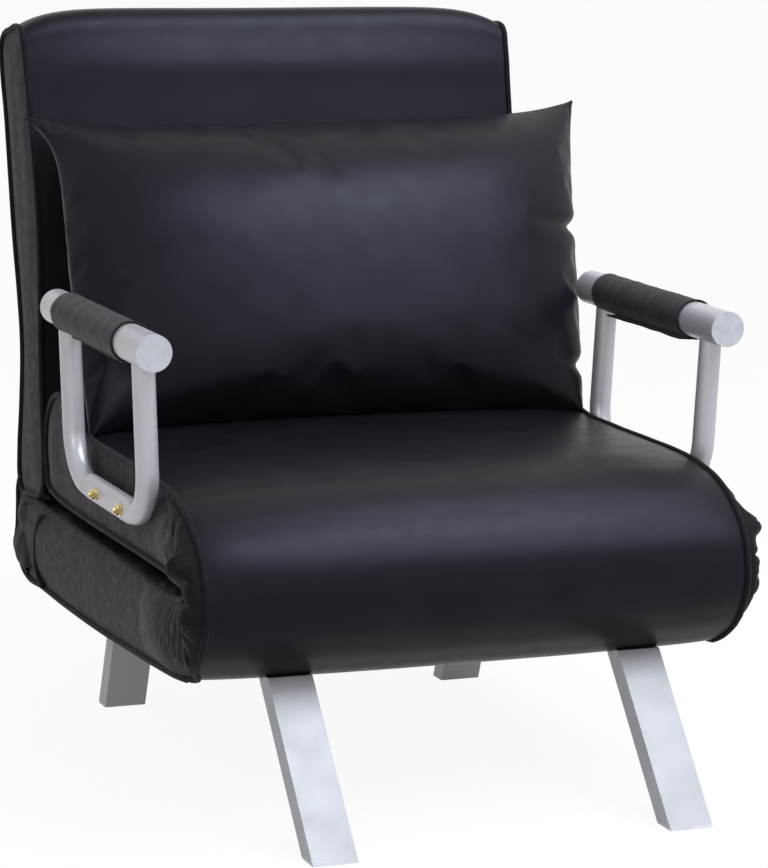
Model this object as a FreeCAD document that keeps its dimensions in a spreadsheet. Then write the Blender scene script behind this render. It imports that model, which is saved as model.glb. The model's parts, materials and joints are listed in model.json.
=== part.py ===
import FreeCAD, Part
import math
import os
import re
import Sketcher

from FreeCAD import Placement, Rotation, Vector

# Chair bed: a mattress in three sections on a tubular steel frame.
# The back reclines on ratchet plates, and the seat with its arms turns over forwards on the front fold.
# X runs across the chair, the sitter looks along -Y, and Z is up from the floor.

# Driving dimensions in millimetres and degrees
SIZES = {
    # mattress cover and its running clearances
    "mattress_width": 620,
    "cover_wall": 1.2,
    "soft_gap": 0.3,
    "side_draw": 6,
    "fold_gap": 2,
    # seat section, seen from the side
    "seat_bottom": 268,
    "seat_top": 356,
    "seat_shoulder": 331,
    "seat_flat_front": -185,
    "seat_flat_rear": 88,
    "seat_lip_y": 205,
    "seat_lip_z": 384,
    "seat_rear": 249,
    "seat_crown": 10,
    "seat_sag": 12,
    # base section
    "base_bottom": 145,
    "base_toe": 163,
    "base_level_y": -20,
    "base_top": 243,
    "base_crown": 11,
    "rear_round": 58,
    # back section, measured from the recline pivot along and across the back
    "back_lean": 9.8,
    "back_front": 65,
    "back_rear": 36,
    "back_start": 60.5,
    "back_end": 622,
    "back_corner": 16,
    "back_crown": 26,
    "back_top_crown": 17,
    "back_rear_crown": 7,
    "back_waist": 20,
    "back_waist_at": 245,
    "back_waist_run": 110,
    "back_waist_bow": 3,
    # front and rear folds of the mattress
    "fold_front": -345,
    "fold_belly_z": 258,
    "fold_low": 169,
    "fold_crown": 6,
    "fold_slot_half": 39,
    "rear_fold_depth": 8,
    "rear_fold_top": 49,
    "rear_fold_bottom": -40,
    # pivots
    "fold_pivot_y": -295,
    "recline_pivot_y": 315,
    "recline_pivot_z": 190,
    "pivot_radius": 5,
    "pivot_head_radius": 8,
    "pivot_head": 3,
    "running_gap": 0.05,
    "side_gap": 0.5,
    # square steel tube frames
    "tube_size": 20,
    "tube_wall": 1.5,
    "base_frame_z": 167,
    "frame_inset": 23,
    "base_frame_front": -272,
    "base_frame_rear": 276,
    "rear_cross_y": 188,
    "seat_frame_z": 306,
    "seat_frame_front": -270,
    "seat_frame_rear": 216,
    "seat_cross_y": -73,
    "back_frame_start": 80,
    "back_frame_end": 590,
    "back_cross": 330,
    "vent_radius": 3,
    # elastic webbing
    "strap_width": 50,
    "strap_thickness": 1.5,
    "cross_straps": 5,
    "long_straps": 3,
    "strap_margin": 70,
    # pivot plates
    "plate_thickness": 4,
    "eye_radius": 12,
    "plate_foot": 42,
    "plate_foot_height": 16,
    "plate_slot": 25,
    # recline ratchet
    "sector_radius": 34,
    "notch_depth": 6,
    "notch_width": 8,
    "lock_positions": 5,
    "arm_plate_half": 12,
    "arm_plate_length": 118,
    "lug_reach": 33,
    "lug_low": 26,
    "lug_high": 48,
    "pawl_pivot_reach": 24,
    "pawl_pivot_rise": 40,
    "pawl_pivot_radius": 3,
    "pawl_half_height": 4.5,
    "pawl_tooth_width": 4.6,
    "pawl_lift": 0.6,
    # legs of rectangular tube
    "leg_width": 50,
    "leg_depth": 25,
    "leg_wall": 1.5,
    "front_leg_inset": 107,
    "front_leg_foot": -446,
    "front_leg_slope": 41.3,
    "rear_leg_inset": 92,
    "rear_leg_foot": 235,
    "rear_leg_slope": 20,
    "leg_plate": 3,
    "leg_plate_width": 84,
    "leg_plate_length": 46,
    "cap_flange": 3,
    "cap_depth": 14,
    "leg_bolt_radius": 4,
    "leg_bolt_head": 5,
    "leg_bolt_head_radius": 7.5,
    "leg_bolt_length": 16,
    "leg_bolt_spread": 68,
    "leg_hole_margin": 4,
    # arms
    "arm_stand": 15.5,
    "arm_lean": 2.5,
    "arm_tube_radius": 12.5,
    "arm_tube_wall": 1.5,
    "arm_front": -195,
    "arm_rear": 80,
    "arm_corner": 55,
    "arm_bolt_z": 316,
    "arm_bolt_front": -119,
    "arm_bolt_rear": -27,
    "pressed_thickness": 17,
    "pressed_height": 30,
    "press_run": 12,
    "grip_radius": 20,
    "grip_wall": 1.5,
    "grip_z": 504,
    "grip_front": -232,
    "grip_rear": 125,
    "end_cap": 3,
    "plug_depth": 12,
    "pad_front": -153,
    "pad_rear": 78,
    "pad_thickness": 3.2,
    "pad_gap": 0.2,
    "arm_bolt_radius": 3,
    "arm_bolt_end": 2.5,
    "bolt_hole_gap": 0.4,
    "cover_hole_gap": 1.5,
    "bolt_head": 4,
    "nut_height": 4.5,
    "nut_radius": 5.5,
    "washer_radius": 7,
    "washer_thickness": 1.5,
    "spacer_radius": 7,
    "spacer_seat": 0.6,
    # loose pillow
    "pillow_overhang": 16,
    "pillow_height": 356,
    "pillow_thickness": 168,
    "pillow_ear": 12,
    "pillow_seam": 7,
    "pillow_lean": 20,
    "pillow_y": 184,
    "pillow_gap": 0.3,
    "pillow_settle": 1.6,
}

doc = FreeCAD.newDocument("ChairBed")
sheet = doc.addObject("Spreadsheet::Sheet", "Sizes")
for row, (alias, value) in enumerate(SIZES.items(), start=1):
    sheet.set(f"A{row}", alias)
    sheet.set(f"B{row}", str(value))
    sheet.setAlias(f"B{row}", alias)
doc.recompute()

# Heights and widths that follow from the driving dimensions
PAD_TOP = "(grip_z + grip_radius + pad_gap + pad_thickness)"
FOLD_Z = f"({PAD_TOP} / 2)"
ARM_X = "(mattress_width / 2 + arm_stand)"
FRONT_LEG_X = "(mattress_width / 2 - front_leg_inset)"
REAR_LEG_X = "(mattress_width / 2 - rear_leg_inset)"
BASE_HALF = "(mattress_width / 2 - frame_inset)"
UPPER_HALF = f"({BASE_HALF} + plate_thickness + side_gap)"
LOWER_PLATE_X = f"({BASE_HALF} + plate_thickness / 2)"
UPPER_PLATE_X = f"({UPPER_HALF} + plate_thickness / 2)"
SLOT_X = f"({BASE_HALF} + plate_thickness + side_gap / 2 - plate_slot / 2)"

SIDES = (("left", -1), ("right", 1))
finished = {}


def bound(words):
    """An expression whose size names point into the sheet."""
    return re.sub(r"[a-z_]{3,}", lambda m: f"Sizes.{m[0]}" if m[0] in SIZES else m[0], str(words))


def number(words):
    """The value of an expression, worked out on the sheet."""
    return float(reckoner.evalExpression(bound(words)))


def bind(thing, **properties):
    for name, words in properties.items():
        thing.setExpression(name.replace("__", "."), bound(words))


def finish(thing, label):
    thing.Label = label
    finished[label] = thing
    return thing


def move(thing, x=0, y=0, z=0):
    bind(thing, Placement__Base__x=x, Placement__Base__y=y, Placement__Base__z=z)
    return thing


def turn(thing, axis, degrees):
    thing.Placement = Placement(thing.Placement.Base, Rotation(axis, 1))
    thing.setExpression("Placement.Rotation.Angle", bound(degrees))
    return thing


# Holds no shape: it only works out expressions against the sheet
reckoner = doc.addObject("App::FeaturePython", "Reckoner")


def lean_back(thing):
    """Sets a piece drawn along the back onto the leaning back."""
    turn(thing, Vector(1, 0, 0), "-back_lean")
    return move(thing, 0, "recline_pivot_y", "recline_pivot_z")


def lean_arm(thing, side):
    """Sets a piece drawn about the arm bolts onto its outward leaning arm."""
    turn(thing, Vector(0, side, 0), "arm_lean")
    return move(thing, f"{side} * {ARM_X}", 0, "arm_bolt_z")


def block(x, y, z, length, width, height):
    """A box from its low corner."""
    solid = doc.addObject("Part::Box", "Block")
    bind(solid, Length=length, Width=width, Height=height)
    return move(solid, x, y, z)


def rod(x, y, z, radius, length, axis="Z"):
    """A cylinder that starts at a point and runs along an axis."""
    solid = doc.addObject("Part::Cylinder", "Rod")
    if axis == "X":
        solid.Placement = Placement(Vector(), Rotation(Vector(0, 1, 0), 90))
    if axis == "Y":
        solid.Placement = Placement(Vector(), Rotation(Vector(1, 0, 0), -90))
    bind(solid, Radius=radius, Height=length)
    return move(solid, x, y, z)


def hexagon(x, y, z, radius, height):
    """A hexagonal prism whose axis runs along X."""
    solid = doc.addObject("Part::Prism", "Hexagon")
    solid.Polygon = 6
    solid.Placement = Placement(Vector(), Rotation(Vector(0, 1, 0), 90))
    bind(solid, Circumradius=radius, Height=height)
    return move(solid, x, y, z)


def joined(parts):
    fusion = doc.addObject("Part::MultiFuse", "Joined")
    fusion.Shapes = parts
    return fusion


def without(body, tools):
    cut = doc.addObject("Part::Cut", "Cut")
    cut.Base = body
    cut.Tool = tools[0] if len(tools) == 1 else joined(tools)
    return cut


def group(parts, label):
    together = doc.addObject("Part::Compound", "Group")
    together.Links = parts
    return finish(together, label)


# Sketched bodies
def origin_plane(body, role):
    return next(f for f in body.Origin.OriginFeatures if f.Role == role)


def new_sketch(body, role, height=None):
    sketch = body.newObject("Sketcher::SketchObject", "Outline")
    sketch.AttachmentSupport = [(origin_plane(body, role), "")]
    sketch.MapMode = "FlatFace"
    if height is not None:
        sketch.setExpression("AttachmentOffset.Base.z", bound(height))
    return sketch


def pin_point(sketch, element, corner, across, up):
    """Holds one end of an element at two distances from the sketch's origin."""
    for kind, words in (("DistanceX", across), ("DistanceY", up)):
        place = sketch.addConstraint(Sketcher.Constraint(kind, -1, 1, element, corner, number(words)))
        sketch.setExpression(f"Constraints[{place}]", bound(words))


def draw_polygon(sketch, corners):
    """A closed outline whose corners are pairs of expressions."""
    points = [Vector(number(a), number(b), 0) for a, b in corners]
    first = sketch.GeometryCount
    count = len(corners)
    for i in range(count):
        sketch.addGeometry(Part.LineSegment(points[i], points[(i + 1) % count]), False)
    for i, (across, up) in enumerate(corners):
        following = first + (i + 1) % count
        sketch.addConstraint(Sketcher.Constraint("Coincident", first + i, 2, following, 1))
        pin_point(sketch, first + i, 1, across, up)


def draw_circle(sketch, across, up, radius):
    centre = Vector(number(across), number(up), 0)
    circle = sketch.addGeometry(Part.Circle(centre, Vector(0, 0, 1), number(radius)), False)
    pin_point(sketch, circle, 3, across, up)
    place = sketch.addConstraint(Sketcher.Constraint("Radius", circle, number(radius)))
    sketch.setExpression(f"Constraints[{place}]", bound(radius))


def rectangle(low_across, low_up, high_across, high_up):
    return [(low_across, low_up), (high_across, low_up), (high_across, high_up), (low_across, high_up)]


def pad(body, sketch, length, both_ways=False):
    feature = body.newObject("PartDesign::Pad", "Pad")
    feature.Profile = sketch
    feature.setExpression("Length", bound(length))
    feature.Midplane = both_ways
    return feature


def pocket(body, sketch, length):
    """Cuts a sketch out of the body, to both sides of its plane."""
    feature = body.newObject("PartDesign::Pocket", "Pocket")
    feature.Profile = sketch
    feature.setExpression("Length", bound(length))
    feature.Midplane = True
    return feature


def sketched_plate(outline, eyes, bores):
    """A flat plate across X: an outline with round eyes, pierced by bores."""
    body = doc.addObject("PartDesign::Body", "Plate")
    sketch = new_sketch(body, "YZ_Plane")
    draw_polygon(sketch, outline)
    pad(body, sketch, "plate_thickness", True)
    for across, up, radius in eyes:
        sketch = new_sketch(body, "YZ_Plane")
        draw_circle(sketch, across, up, radius)
        pad(body, sketch, "plate_thickness", True)
    doc.recompute()
    for across, up, radius in bores:
        sketch = new_sketch(body, "YZ_Plane")
        draw_circle(sketch, across, up, radius)
        pocket(body, sketch, "2 * plate_thickness")
    return body


# Soft forms are lofts through outlines that change across the chair
def size(alias):
    return float(sheet.get(alias))


def outline_wire(place, start, runs):
    """A closed wire: each run has the point that it bows through, or None if straight, and its end."""
    edges = []
    here = start
    for through, end in runs:
        if through is None:
            edges.append(Part.LineSegment(place(here), place(end)).toShape())
        else:
            edges.append(Part.Arc(place(here), place(through), place(end)).toShape())
        here = end
    return Part.Wire(edges)


def midway(start, end, rise=0.0):
    """The point halfway between two points, raised."""
    return ((start[0] + end[0]) / 2, (start[1] + end[1]) / 2 + rise)


STATIONS = (-1, -0.8, -0.4, 0, 0.4, 0.8, 1)


def crown_share(station):
    """How much of the crown stands at a station: a tenth at the sides, all of it in the middle."""
    return 0.1 + 0.9 * (1 - abs(station) ** 3)


def crowned(half_width, draw_section):
    """A solid lofted across the chair, fullest in the middle."""
    wires = [draw_section(s * half_width, crown_share(s)) for s in STATIONS]
    return Part.makeLoft(wires, True, False)


def drawn_in(form, half_width, low, high, floor, ceiling):
    """Trims the form's sides to two shallow arcs that pull in between the corners."""
    draw = size("side_draw")
    middle = (low + high) / 2
    corners = [Vector(-half_width, low, floor), Vector(half_width, low, floor)]
    corners += [Vector(half_width, high, floor), Vector(-half_width, high, floor)]
    waist = half_width - draw
    edges = [
        Part.LineSegment(corners[0], corners[1]).toShape(),
        Part.Arc(corners[1], Vector(waist, middle, floor), corners[2]).toShape(),
        Part.LineSegment(corners[2], corners[3]).toShape(),
        Part.Arc(corners[3], Vector(-waist, middle, floor), corners[0]).toShape(),
    ]
    plan = Part.Face(Part.Wire(edges)).extrude(Vector(0, 0, ceiling - floor))
    return form.common(plan)


def cuboid(low, high):
    """A plain box between two opposite corners."""
    return Part.makeBox(high[0] - low[0], high[1] - low[1], high[2] - low[2], Vector(*low))


def soft_piece(shape, label, placement=None):
    feature = doc.addObject("Part::Feature", "Soft")
    feature.Shape = shape
    if placement is not None:
        feature.Placement = placement
    return finish(feature, label)


half_width = size("mattress_width") / 2
wall = size("cover_wall")
gap = size("soft_gap")
rigid_front = size("fold_pivot_y") + size("fold_gap")
side_spill = 1.0
slot_inner = number(SLOT_X)
slot_outer = slot_inner + size("plate_slot")
plan_margin = 40.0


def seat_form(inset, open_front=0.0):
    """The seat section: crowned on top, hollowed against the base, and rolled up at its rear."""
    front = rigid_front - open_front
    low = size("seat_bottom") + inset
    shoulder = size("seat_shoulder") - inset
    flat = size("seat_top") - inset
    lip_y = size("seat_lip_y")
    rear = size("seat_rear") - inset

    def section(x, share):
        rise = size("seat_crown") * share
        corner = (front, shoulder + 0.6 * rise)
        flat_front = (size("seat_flat_front"), flat + rise)
        flat_rear = (size("seat_flat_rear"), flat + rise)
        lip = (lip_y, size("seat_lip_z") - inset + 0.3 * rise)
        foot = (rear - 12, low + 16)
        toe = (rear - 30, low)
        start = (front, low)
        runs = [
            (midway(corner, flat_front, 0.18 * (flat - shoulder)), flat_front),
            (midway(flat_front, flat_rear, 1.5), flat_rear),
            (midway(flat_rear, lip, -2), lip),
            ((rear, (lip[1] + foot[1]) / 2), foot),
            (midway(foot, toe, -4), toe),
            (midway(toe, start, -size("seat_sag") * share), start),
        ]
        return outline_wire(lambda p: Vector(x, *p), start, [(None, corner)] + runs)

    form = crowned(half_width - inset + side_spill, section)
    ceiling = flat + 2 * plan_margin
    return drawn_in(form, half_width - inset, front, rear + plan_margin, low - plan_margin, ceiling)


def base_form(inset, open_front=0.0):
    """The base section, which ends in a half round about the recline pivot."""
    front = rigid_front - open_front
    pivot = (size("recline_pivot_y"), size("recline_pivot_z"))
    reach = size("rear_round") - inset
    low = size("base_bottom") + inset
    toe_z = size("base_toe") + inset
    flat = size("base_top") - inset
    drop = pivot[1] - low
    heel_y = pivot[0] + math.sqrt(reach * reach - drop * drop)
    rise = flat - pivot[1]
    nape_y = pivot[0] - math.sqrt(reach * reach - rise * rise)

    def section(x, share):
        crown = size("base_crown") * share
        start = (front, toe_z)
        nape = (nape_y, flat)
        corner = (front, flat)
        level = (size("base_level_y"), low)
        runs = [
            (None, corner),
            (midway(corner, nape, crown), nape),
            ((pivot[0] + reach * 0.6, pivot[1] + reach * 0.8), (pivot[0] + reach, pivot[1])),
            ((pivot[0] + reach * 0.9, pivot[1] - reach * math.sqrt(0.19)), (heel_y, low)),
            (None, level),
            (midway(level, start, -1.5), start),
        ]
        return outline_wire(lambda p: Vector(x, *p), start, runs)

    form = crowned(half_width - inset + side_spill, section)
    high = pivot[0] + reach
    ceiling = flat + plan_margin
    return drawn_in(form, half_width - inset, front, high + plan_margin, low - plan_margin, ceiling)


def bowed_in(start, end):
    """The point halfway along the back's rear face, drawn in towards the frame."""
    middle = midway(start, end)
    return (middle[0] - size("back_waist_bow"), middle[1])


def back_form(inset):
    """The back section, drawn upright about the recline pivot with its front towards -Y."""
    front = -size("back_front") + inset
    rear = size("back_rear") - inset
    low = size("back_start") + inset
    high = size("back_end") - inset
    corner = size("back_corner")
    bend = corner * (1 - math.sqrt(0.5))

    def section(x, share):
        crown = size("back_crown") * (0.4 + 0.6 * share)
        swell = size("back_rear_crown") * share
        lift = size("back_top_crown") * share
        start = (front + corner, low)
        top = high + lift
        heel = (rear, low + corner)
        waist = (rear - size("back_waist"), size("back_waist_at"))
        shoulder = (rear, size("back_waist_at") + size("back_waist_run"))
        runs = [
            (None, (rear - corner, low)),
            ((rear - bend, low + bend), heel),
            (bowed_in(heel, waist), waist),
            (bowed_in(waist, shoulder), shoulder),
            ((rear + swell, (shoulder[1] + top) / 2), (rear, top - corner)),
            ((rear - bend, top - bend), (rear - corner, top)),
            (midway((rear - corner, top), (front + corner, top), 2), (front + corner, top)),
            ((front + bend, top - bend), (front, top - corner)),
            ((front - crown, (low + top) / 2), (front, low + corner)),
            ((front + bend, low + bend), start),
        ]
        return outline_wire(lambda p: Vector(x, *p), start, runs)

    form = crowned(half_width - inset + side_spill, section)
    reach = plan_margin + size("back_front") + size("back_rear")
    turned = form.copy()
    turned.rotate(Vector(), Vector(1, 0, 0), -90)
    trimmed = drawn_in(turned, half_width - inset, low - plan_margin, high + plan_margin, -reach, reach)
    trimmed.rotate(Vector(), Vector(1, 0, 0), 90)
    return trimmed


def cut_slots(shape, y_low, y_high, z_low, z_high):
    """Frees the two narrow slots in which the pivot plates stand and swing."""
    for side in (-1, 1):
        x = sorted((side * slot_inner, side * slot_outer))
        shape = shape.cut(cuboid((x[0], y_low, z_low), (x[1], y_high, z_high)))
    return shape


def sliced(form, z_low, z_high):
    """The layer of a form between two heights."""
    box = form.BoundBox
    return form.common(cuboid((box.XMin - 1, box.YMin - 1, z_low), (box.XMax + 1, box.YMax + 1, z_high)))


# Square tube frames
def square_tube(x, y, z, length, along, overrun):
    """The outside of a square tube from its low corner, and its bore, longer by the overrun at each end."""
    bore = "(tube_size - 2 * tube_wall)"
    long_bore = f"({length} + 2 * {overrun})"
    inset = {axis: f" - {overrun}" if axis == along else " + tube_wall" for axis in "XYZ"}
    outer = [length if axis == along else "tube_size" for axis in "XYZ"]
    inner = [long_bore if axis == along else bore for axis in "XYZ"]
    outside = block(x, y, z, *outer)
    inside = block(x + inset["X"], y + inset["Y"], z + inset["Z"], *inner)
    return outside, inside


def tube_frame(side_half, low, high, crossings, level, along, holes=()):
    """Two open-ended side tubes joined by cross tubes, each vented underneath or behind."""
    tubes = []
    for side in (-1, 1):
        x = f"{side} * ({side_half} - tube_size / 2) - tube_size / 2"
        place = (x, low, level) if along == "Y" else (x, level, low)
        outside, inside = square_tube(*place, f"({high} - ({low}))", along, "1")
        tubes.append(without(outside, [inside]))
    inner = f"({side_half} - tube_size)"
    for crossing in crossings:
        place = (f"-{inner}", crossing, level) if along == "Y" else (f"-{inner}", level, crossing)
        outside, inside = square_tube(*place, f"(2 * {inner})", "X", "0")
        middle = f"{crossing} + tube_size / 2"
        if along == "Y":
            vent = rod("0", middle, f"{level} - 1", "vent_radius", "tube_wall + 2")
        else:
            start = f"{level} + tube_size - tube_wall - 1"
            vent = rod("0", start, middle, "vent_radius", "tube_wall + 2", "Y")
        tubes.append(without(outside, [inside, vent]))
    frame = joined(tubes)
    return without(frame, list(holes)) if holes else frame


def webbing(side_half, low, high, height, upright):
    """Elastic straps laid over a frame: cross straps, and long straps over them."""
    straps = []
    step = f"(({high} - ({low}) - 2 * strap_margin) / (cross_straps - 1))"
    for i in range(int(size("cross_straps"))):
        along = f"{low} + strap_margin + {i} * {step} - strap_width / 2"
        width = f"2 * {side_half}"
        if upright:
            front = f"{height} - strap_thickness"
            straps.append(block(f"-{side_half}", front, along, width, "strap_thickness", "strap_width"))
        else:
            straps.append(block(f"-{side_half}", along, height, width, "strap_width", "strap_thickness"))
    count = int(size("long_straps"))
    for i in range(count):
        x = f"({i} - {(count - 1) / 2}) * {side_half} / 2 - strap_width / 2"
        length = f"{high} - ({low})"
        if upright:
            front = f"{height} - 2 * strap_thickness"
            straps.append(block(x, front, low, "strap_width", "strap_thickness", length))
        else:
            top = f"{height} + strap_thickness"
            straps.append(block(x, low, top, "strap_width", length, "strap_thickness"))
    return joined(straps)


# Base section
LEG_TOP = "(base_frame_z - leg_plate)"
LEGS = {
    "front": (FRONT_LEG_X, "front_leg_foot", "front_leg_slope", 1, "(base_frame_front + tube_size / 2)"),
    "rear": (REAR_LEG_X, "rear_leg_foot", "rear_leg_slope", -1, "rear_cross_y"),
}


def leg_bolt_places():
    """The two bolts of each leg: the bolt's x and its y."""
    places = []
    for x, foot, slope, way, seat in LEGS.values():
        for name, side in SIDES:
            for end in (-1, 1):
                places.append((f"({side} * {x} + {end} * leg_bolt_spread / 2)", seat))
    return places


bolt_holes = [
    rod(x, y, "base_frame_z - 1", "leg_bolt_radius + running_gap", "tube_wall + 2")
    for x, y in leg_bolt_places()
]
finish(
    tube_frame(
        BASE_HALF,
        "base_frame_front",
        "base_frame_rear",
        ["base_frame_front", "rear_cross_y - tube_size / 2", "base_frame_rear - tube_size"],
        "base_frame_z",
        "Y",
        bolt_holes,
    ),
    "base_frame",
)
finish(
    webbing(BASE_HALF, "base_frame_front", "base_frame_rear", "(base_frame_z + tube_size)", False),
    "base_webbing",
)


def leg_openings(shape, low, high):
    """Openings in the underside for the leg plates."""
    margin = size("leg_hole_margin")
    long_half = size("leg_plate_width") / 2 + margin
    deep_half = size("leg_plate_length") / 2 + margin
    for x, foot, slope, way, seat in LEGS.values():
        y = number(seat)
        near = min(y - deep_half, rigid_front - 1) if way == 1 else y - deep_half
        for name, side in SIDES:
            middle = side * number(x)
            box = cuboid((middle - long_half, near, low), (middle + long_half, y + deep_half, high))
            shape = shape.cut(box)
    return shape


frame_low = size("base_frame_z")
frame_high = frame_low + size("tube_size")
webbing_high = frame_high + 2 * size("strap_thickness")
slot_front = rigid_front + 75
slot_rear = size("recline_pivot_y") - 72
rear_limit = size("recline_pivot_y") + size("rear_round") + 20
base_low = size("base_bottom")
base_high = size("base_top") + size("base_crown") + 5

base_foam = sliced(base_form(wall + gap), webbing_high + gap, base_high)
base_foam = cut_slots(base_foam, rigid_front - 1, slot_front, frame_low, base_high)
base_foam = cut_slots(base_foam, slot_rear, rear_limit, base_low - 5, base_high)
soft_piece(base_foam, "base_foam")

base_underpad = sliced(base_form(wall + gap), base_low, frame_low - gap)
base_underpad = leg_openings(base_underpad, base_low - 1, frame_low)
base_underpad = cut_slots(base_underpad, slot_rear, rear_limit, base_low - 5, base_high)
soft_piece(base_underpad, "base_underpad")

base_cover = base_form(0).cut(base_form(wall, open_front=4))
base_cover = leg_openings(base_cover, base_low - 5, frame_low)
base_cover = cut_slots(base_cover, rigid_front - 1, slot_front, size("base_top") - 10, base_high)
base_cover = cut_slots(base_cover, slot_rear, rear_limit, base_low + 3, base_high)
soft_piece(base_cover, "base_cover")


# Legs: each is a leaning rectangular tube welded under a bolted plate
def make_leg(kind, name, side):
    x, foot, slope, way, seat = LEGS[kind]
    lean = f"{way} * tan({slope})"
    depth = f"leg_depth / cos({slope})"
    skin = f"leg_wall / cos({slope})"

    def at(height, inset, from_rear):
        edge = f"{foot} + ({height}) * {lean}"
        return f"{edge} + {depth} - {inset}" if from_rear else f"{edge} + {inset}"

    body = doc.addObject("PartDesign::Body", "Leg")
    sketch = new_sketch(body, "YZ_Plane")
    draw_polygon(
        sketch,
        [
            (at("cap_flange", "0", False), "cap_flange"),
            (at("cap_flange", "0", True), "cap_flange"),
            (at(LEG_TOP, "0", True), LEG_TOP),
            (at(LEG_TOP, "0", False), LEG_TOP),
        ],
    )
    pad(body, sketch, "leg_width", True)
    doc.recompute()
    sketch = new_sketch(body, "YZ_Plane")
    draw_polygon(
        sketch,
        [
            (at("0", skin, False), "0"),
            (at("0", skin, True), "0"),
            (at(LEG_TOP, skin, True), LEG_TOP),
            (at(LEG_TOP, skin, False), LEG_TOP),
        ],
    )
    pocket(body, sketch, "leg_width - 2 * leg_wall")
    sketch = new_sketch(body, "XY_Plane", LEG_TOP)
    draw_polygon(
        sketch,
        rectangle(
            "-leg_plate_width / 2",
            f"{seat} - leg_plate_length / 2",
            "leg_plate_width / 2",
            f"{seat} + leg_plate_length / 2",
        ),
    )
    pad(body, sketch, "leg_plate")
    doc.recompute()
    sketch = new_sketch(body, "XY_Plane", LEG_TOP)
    for end in (-1, 1):
        draw_circle(sketch, f"{end} * leg_bolt_spread / 2", seat, "leg_bolt_radius + running_gap")
    pocket(body, sketch, "4 * leg_plate")
    move(body, f"{side} * {x}")
    finish(body, f"{kind}_leg_{name}")


def leg_cap(kind, side):
    """A plastic insert that closes a leg's lower end and meets the floor."""
    x, foot, slope, way, seat = LEGS[kind]
    lean = f"{way} * tan({slope})"
    depth = f"leg_depth / cos({slope})"
    skin = f"(leg_wall / cos({slope}) + running_gap)"
    high = "(cap_flange + cap_depth)"
    body = doc.addObject("PartDesign::Body", "Cap")
    sketch = new_sketch(body, "YZ_Plane")
    draw_polygon(
        sketch,
        [
            (foot, "0"),
            (f"{foot} + {depth}", "0"),
            (f"{foot} + {depth} + cap_flange * {lean}", "cap_flange"),
            (f"{foot} + cap_flange * {lean}", "cap_flange"),
        ],
    )
    pad(body, sketch, "leg_width", True)
    sketch = new_sketch(body, "YZ_Plane")
    draw_polygon(
        sketch,
        [
            (f"{foot} + {skin} + cap_flange * {lean}", "cap_flange"),
            (f"{foot} + {depth} - {skin} + cap_flange * {lean}", "cap_flange"),
            (f"{foot} + {depth} - {skin} + {high} * {lean}", high),
            (f"{foot} + {skin} + {high} * {lean}", high),
        ],
    )
    pad(body, sketch, "leg_width - 2 * leg_wall - 2 * running_gap", True)
    return move(body, f"{side} * {x}")


for kind in LEGS:
    for name, side in SIDES:
        make_leg(kind, name, side)
group([leg_cap(kind, side) for kind in LEGS for name, side in SIDES], "leg_end_caps")


def leg_bolt(x, y):
    head = rod(x, y, f"{LEG_TOP} - leg_bolt_head", "leg_bolt_head_radius", "leg_bolt_head")
    shank = rod(x, y, LEG_TOP, "leg_bolt_radius", "leg_bolt_length")
    return joined([head, shank])


group([leg_bolt(x, y) for x, y in leg_bolt_places()], "leg_bolts")

# Pivot plates of the front fold: one pair on the base frame, one pair on the seat frame
for name, side in SIDES:
    foot_low = f"(base_frame_z + (tube_size - plate_foot_height) / 2 - {FOLD_Z})"
    foot_front = "(base_frame_front + 3 - fold_pivot_y)"
    lower = sketched_plate(
        [
            (foot_front, foot_low),
            (f"{foot_front} + plate_foot", foot_low),
            (f"{foot_front} + plate_foot", f"{foot_low} + plate_foot_height"),
            ("eye_radius * 0.96", "eye_radius * 0.28"),
            ("-eye_radius * 0.96", "-eye_radius * 0.28"),
        ],
        [("0", "0", "eye_radius")],
        [("0", "0", "pivot_radius")],
    )
    move(lower, f"{side} * {LOWER_PLATE_X}", "fold_pivot_y", FOLD_Z)
    finish(lower, f"fold_plate_lower_{name}")

    foot_low = f"(seat_frame_z + (tube_size - plate_foot_height) / 2 - {FOLD_Z})"
    foot_front = "(seat_frame_front + 3 - fold_pivot_y)"
    upper = sketched_plate(
        [
            ("eye_radius * 0.8", "-eye_radius * 0.6"),
            (f"{foot_front} + plate_foot", foot_low),
            (f"{foot_front} + plate_foot", f"{foot_low} + plate_foot_height"),
            (foot_front, f"{foot_low} + plate_foot_height"),
            ("-eye_radius * 0.8", "eye_radius * 0.6"),
        ],
        [("0", "0", "eye_radius")],
        [("0", "0", "pivot_radius + running_gap")],
    )
    move(upper, f"{side} * {UPPER_PLATE_X}", "fold_pivot_y", FOLD_Z)
    finish(upper, f"fold_plate_upper_{name}")


def pivot_pin(side, y, z):
    """A headed pin through both plates, peened at its far end."""
    inner = f"({LOWER_PLATE_X} - plate_thickness / 2)"
    span = "(2 * plate_thickness + side_gap + running_gap)"
    turned = 90 * side
    pieces = []
    for start, radius, length in (
        (f"{inner} - pivot_head", "pivot_head_radius", "pivot_head"),
        (inner, "pivot_radius", span),
        (f"{inner} + {span}", "pivot_head_radius", "pivot_head"),
    ):
        piece = doc.addObject("Part::Cylinder", "Pin")
        piece.Placement = Placement(Vector(), Rotation(Vector(0, 1, 0), turned))
        bind(piece, Radius=radius, Height=length)
        pieces.append(move(piece, f"{side} * ({start})", y, z))
    return joined(pieces)


group([pivot_pin(side, "fold_pivot_y", FOLD_Z) for name, side in SIDES], "fold_pins")
group([pivot_pin(side, "recline_pivot_y", "recline_pivot_z") for name, side in SIDES], "recline_pins")

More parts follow.
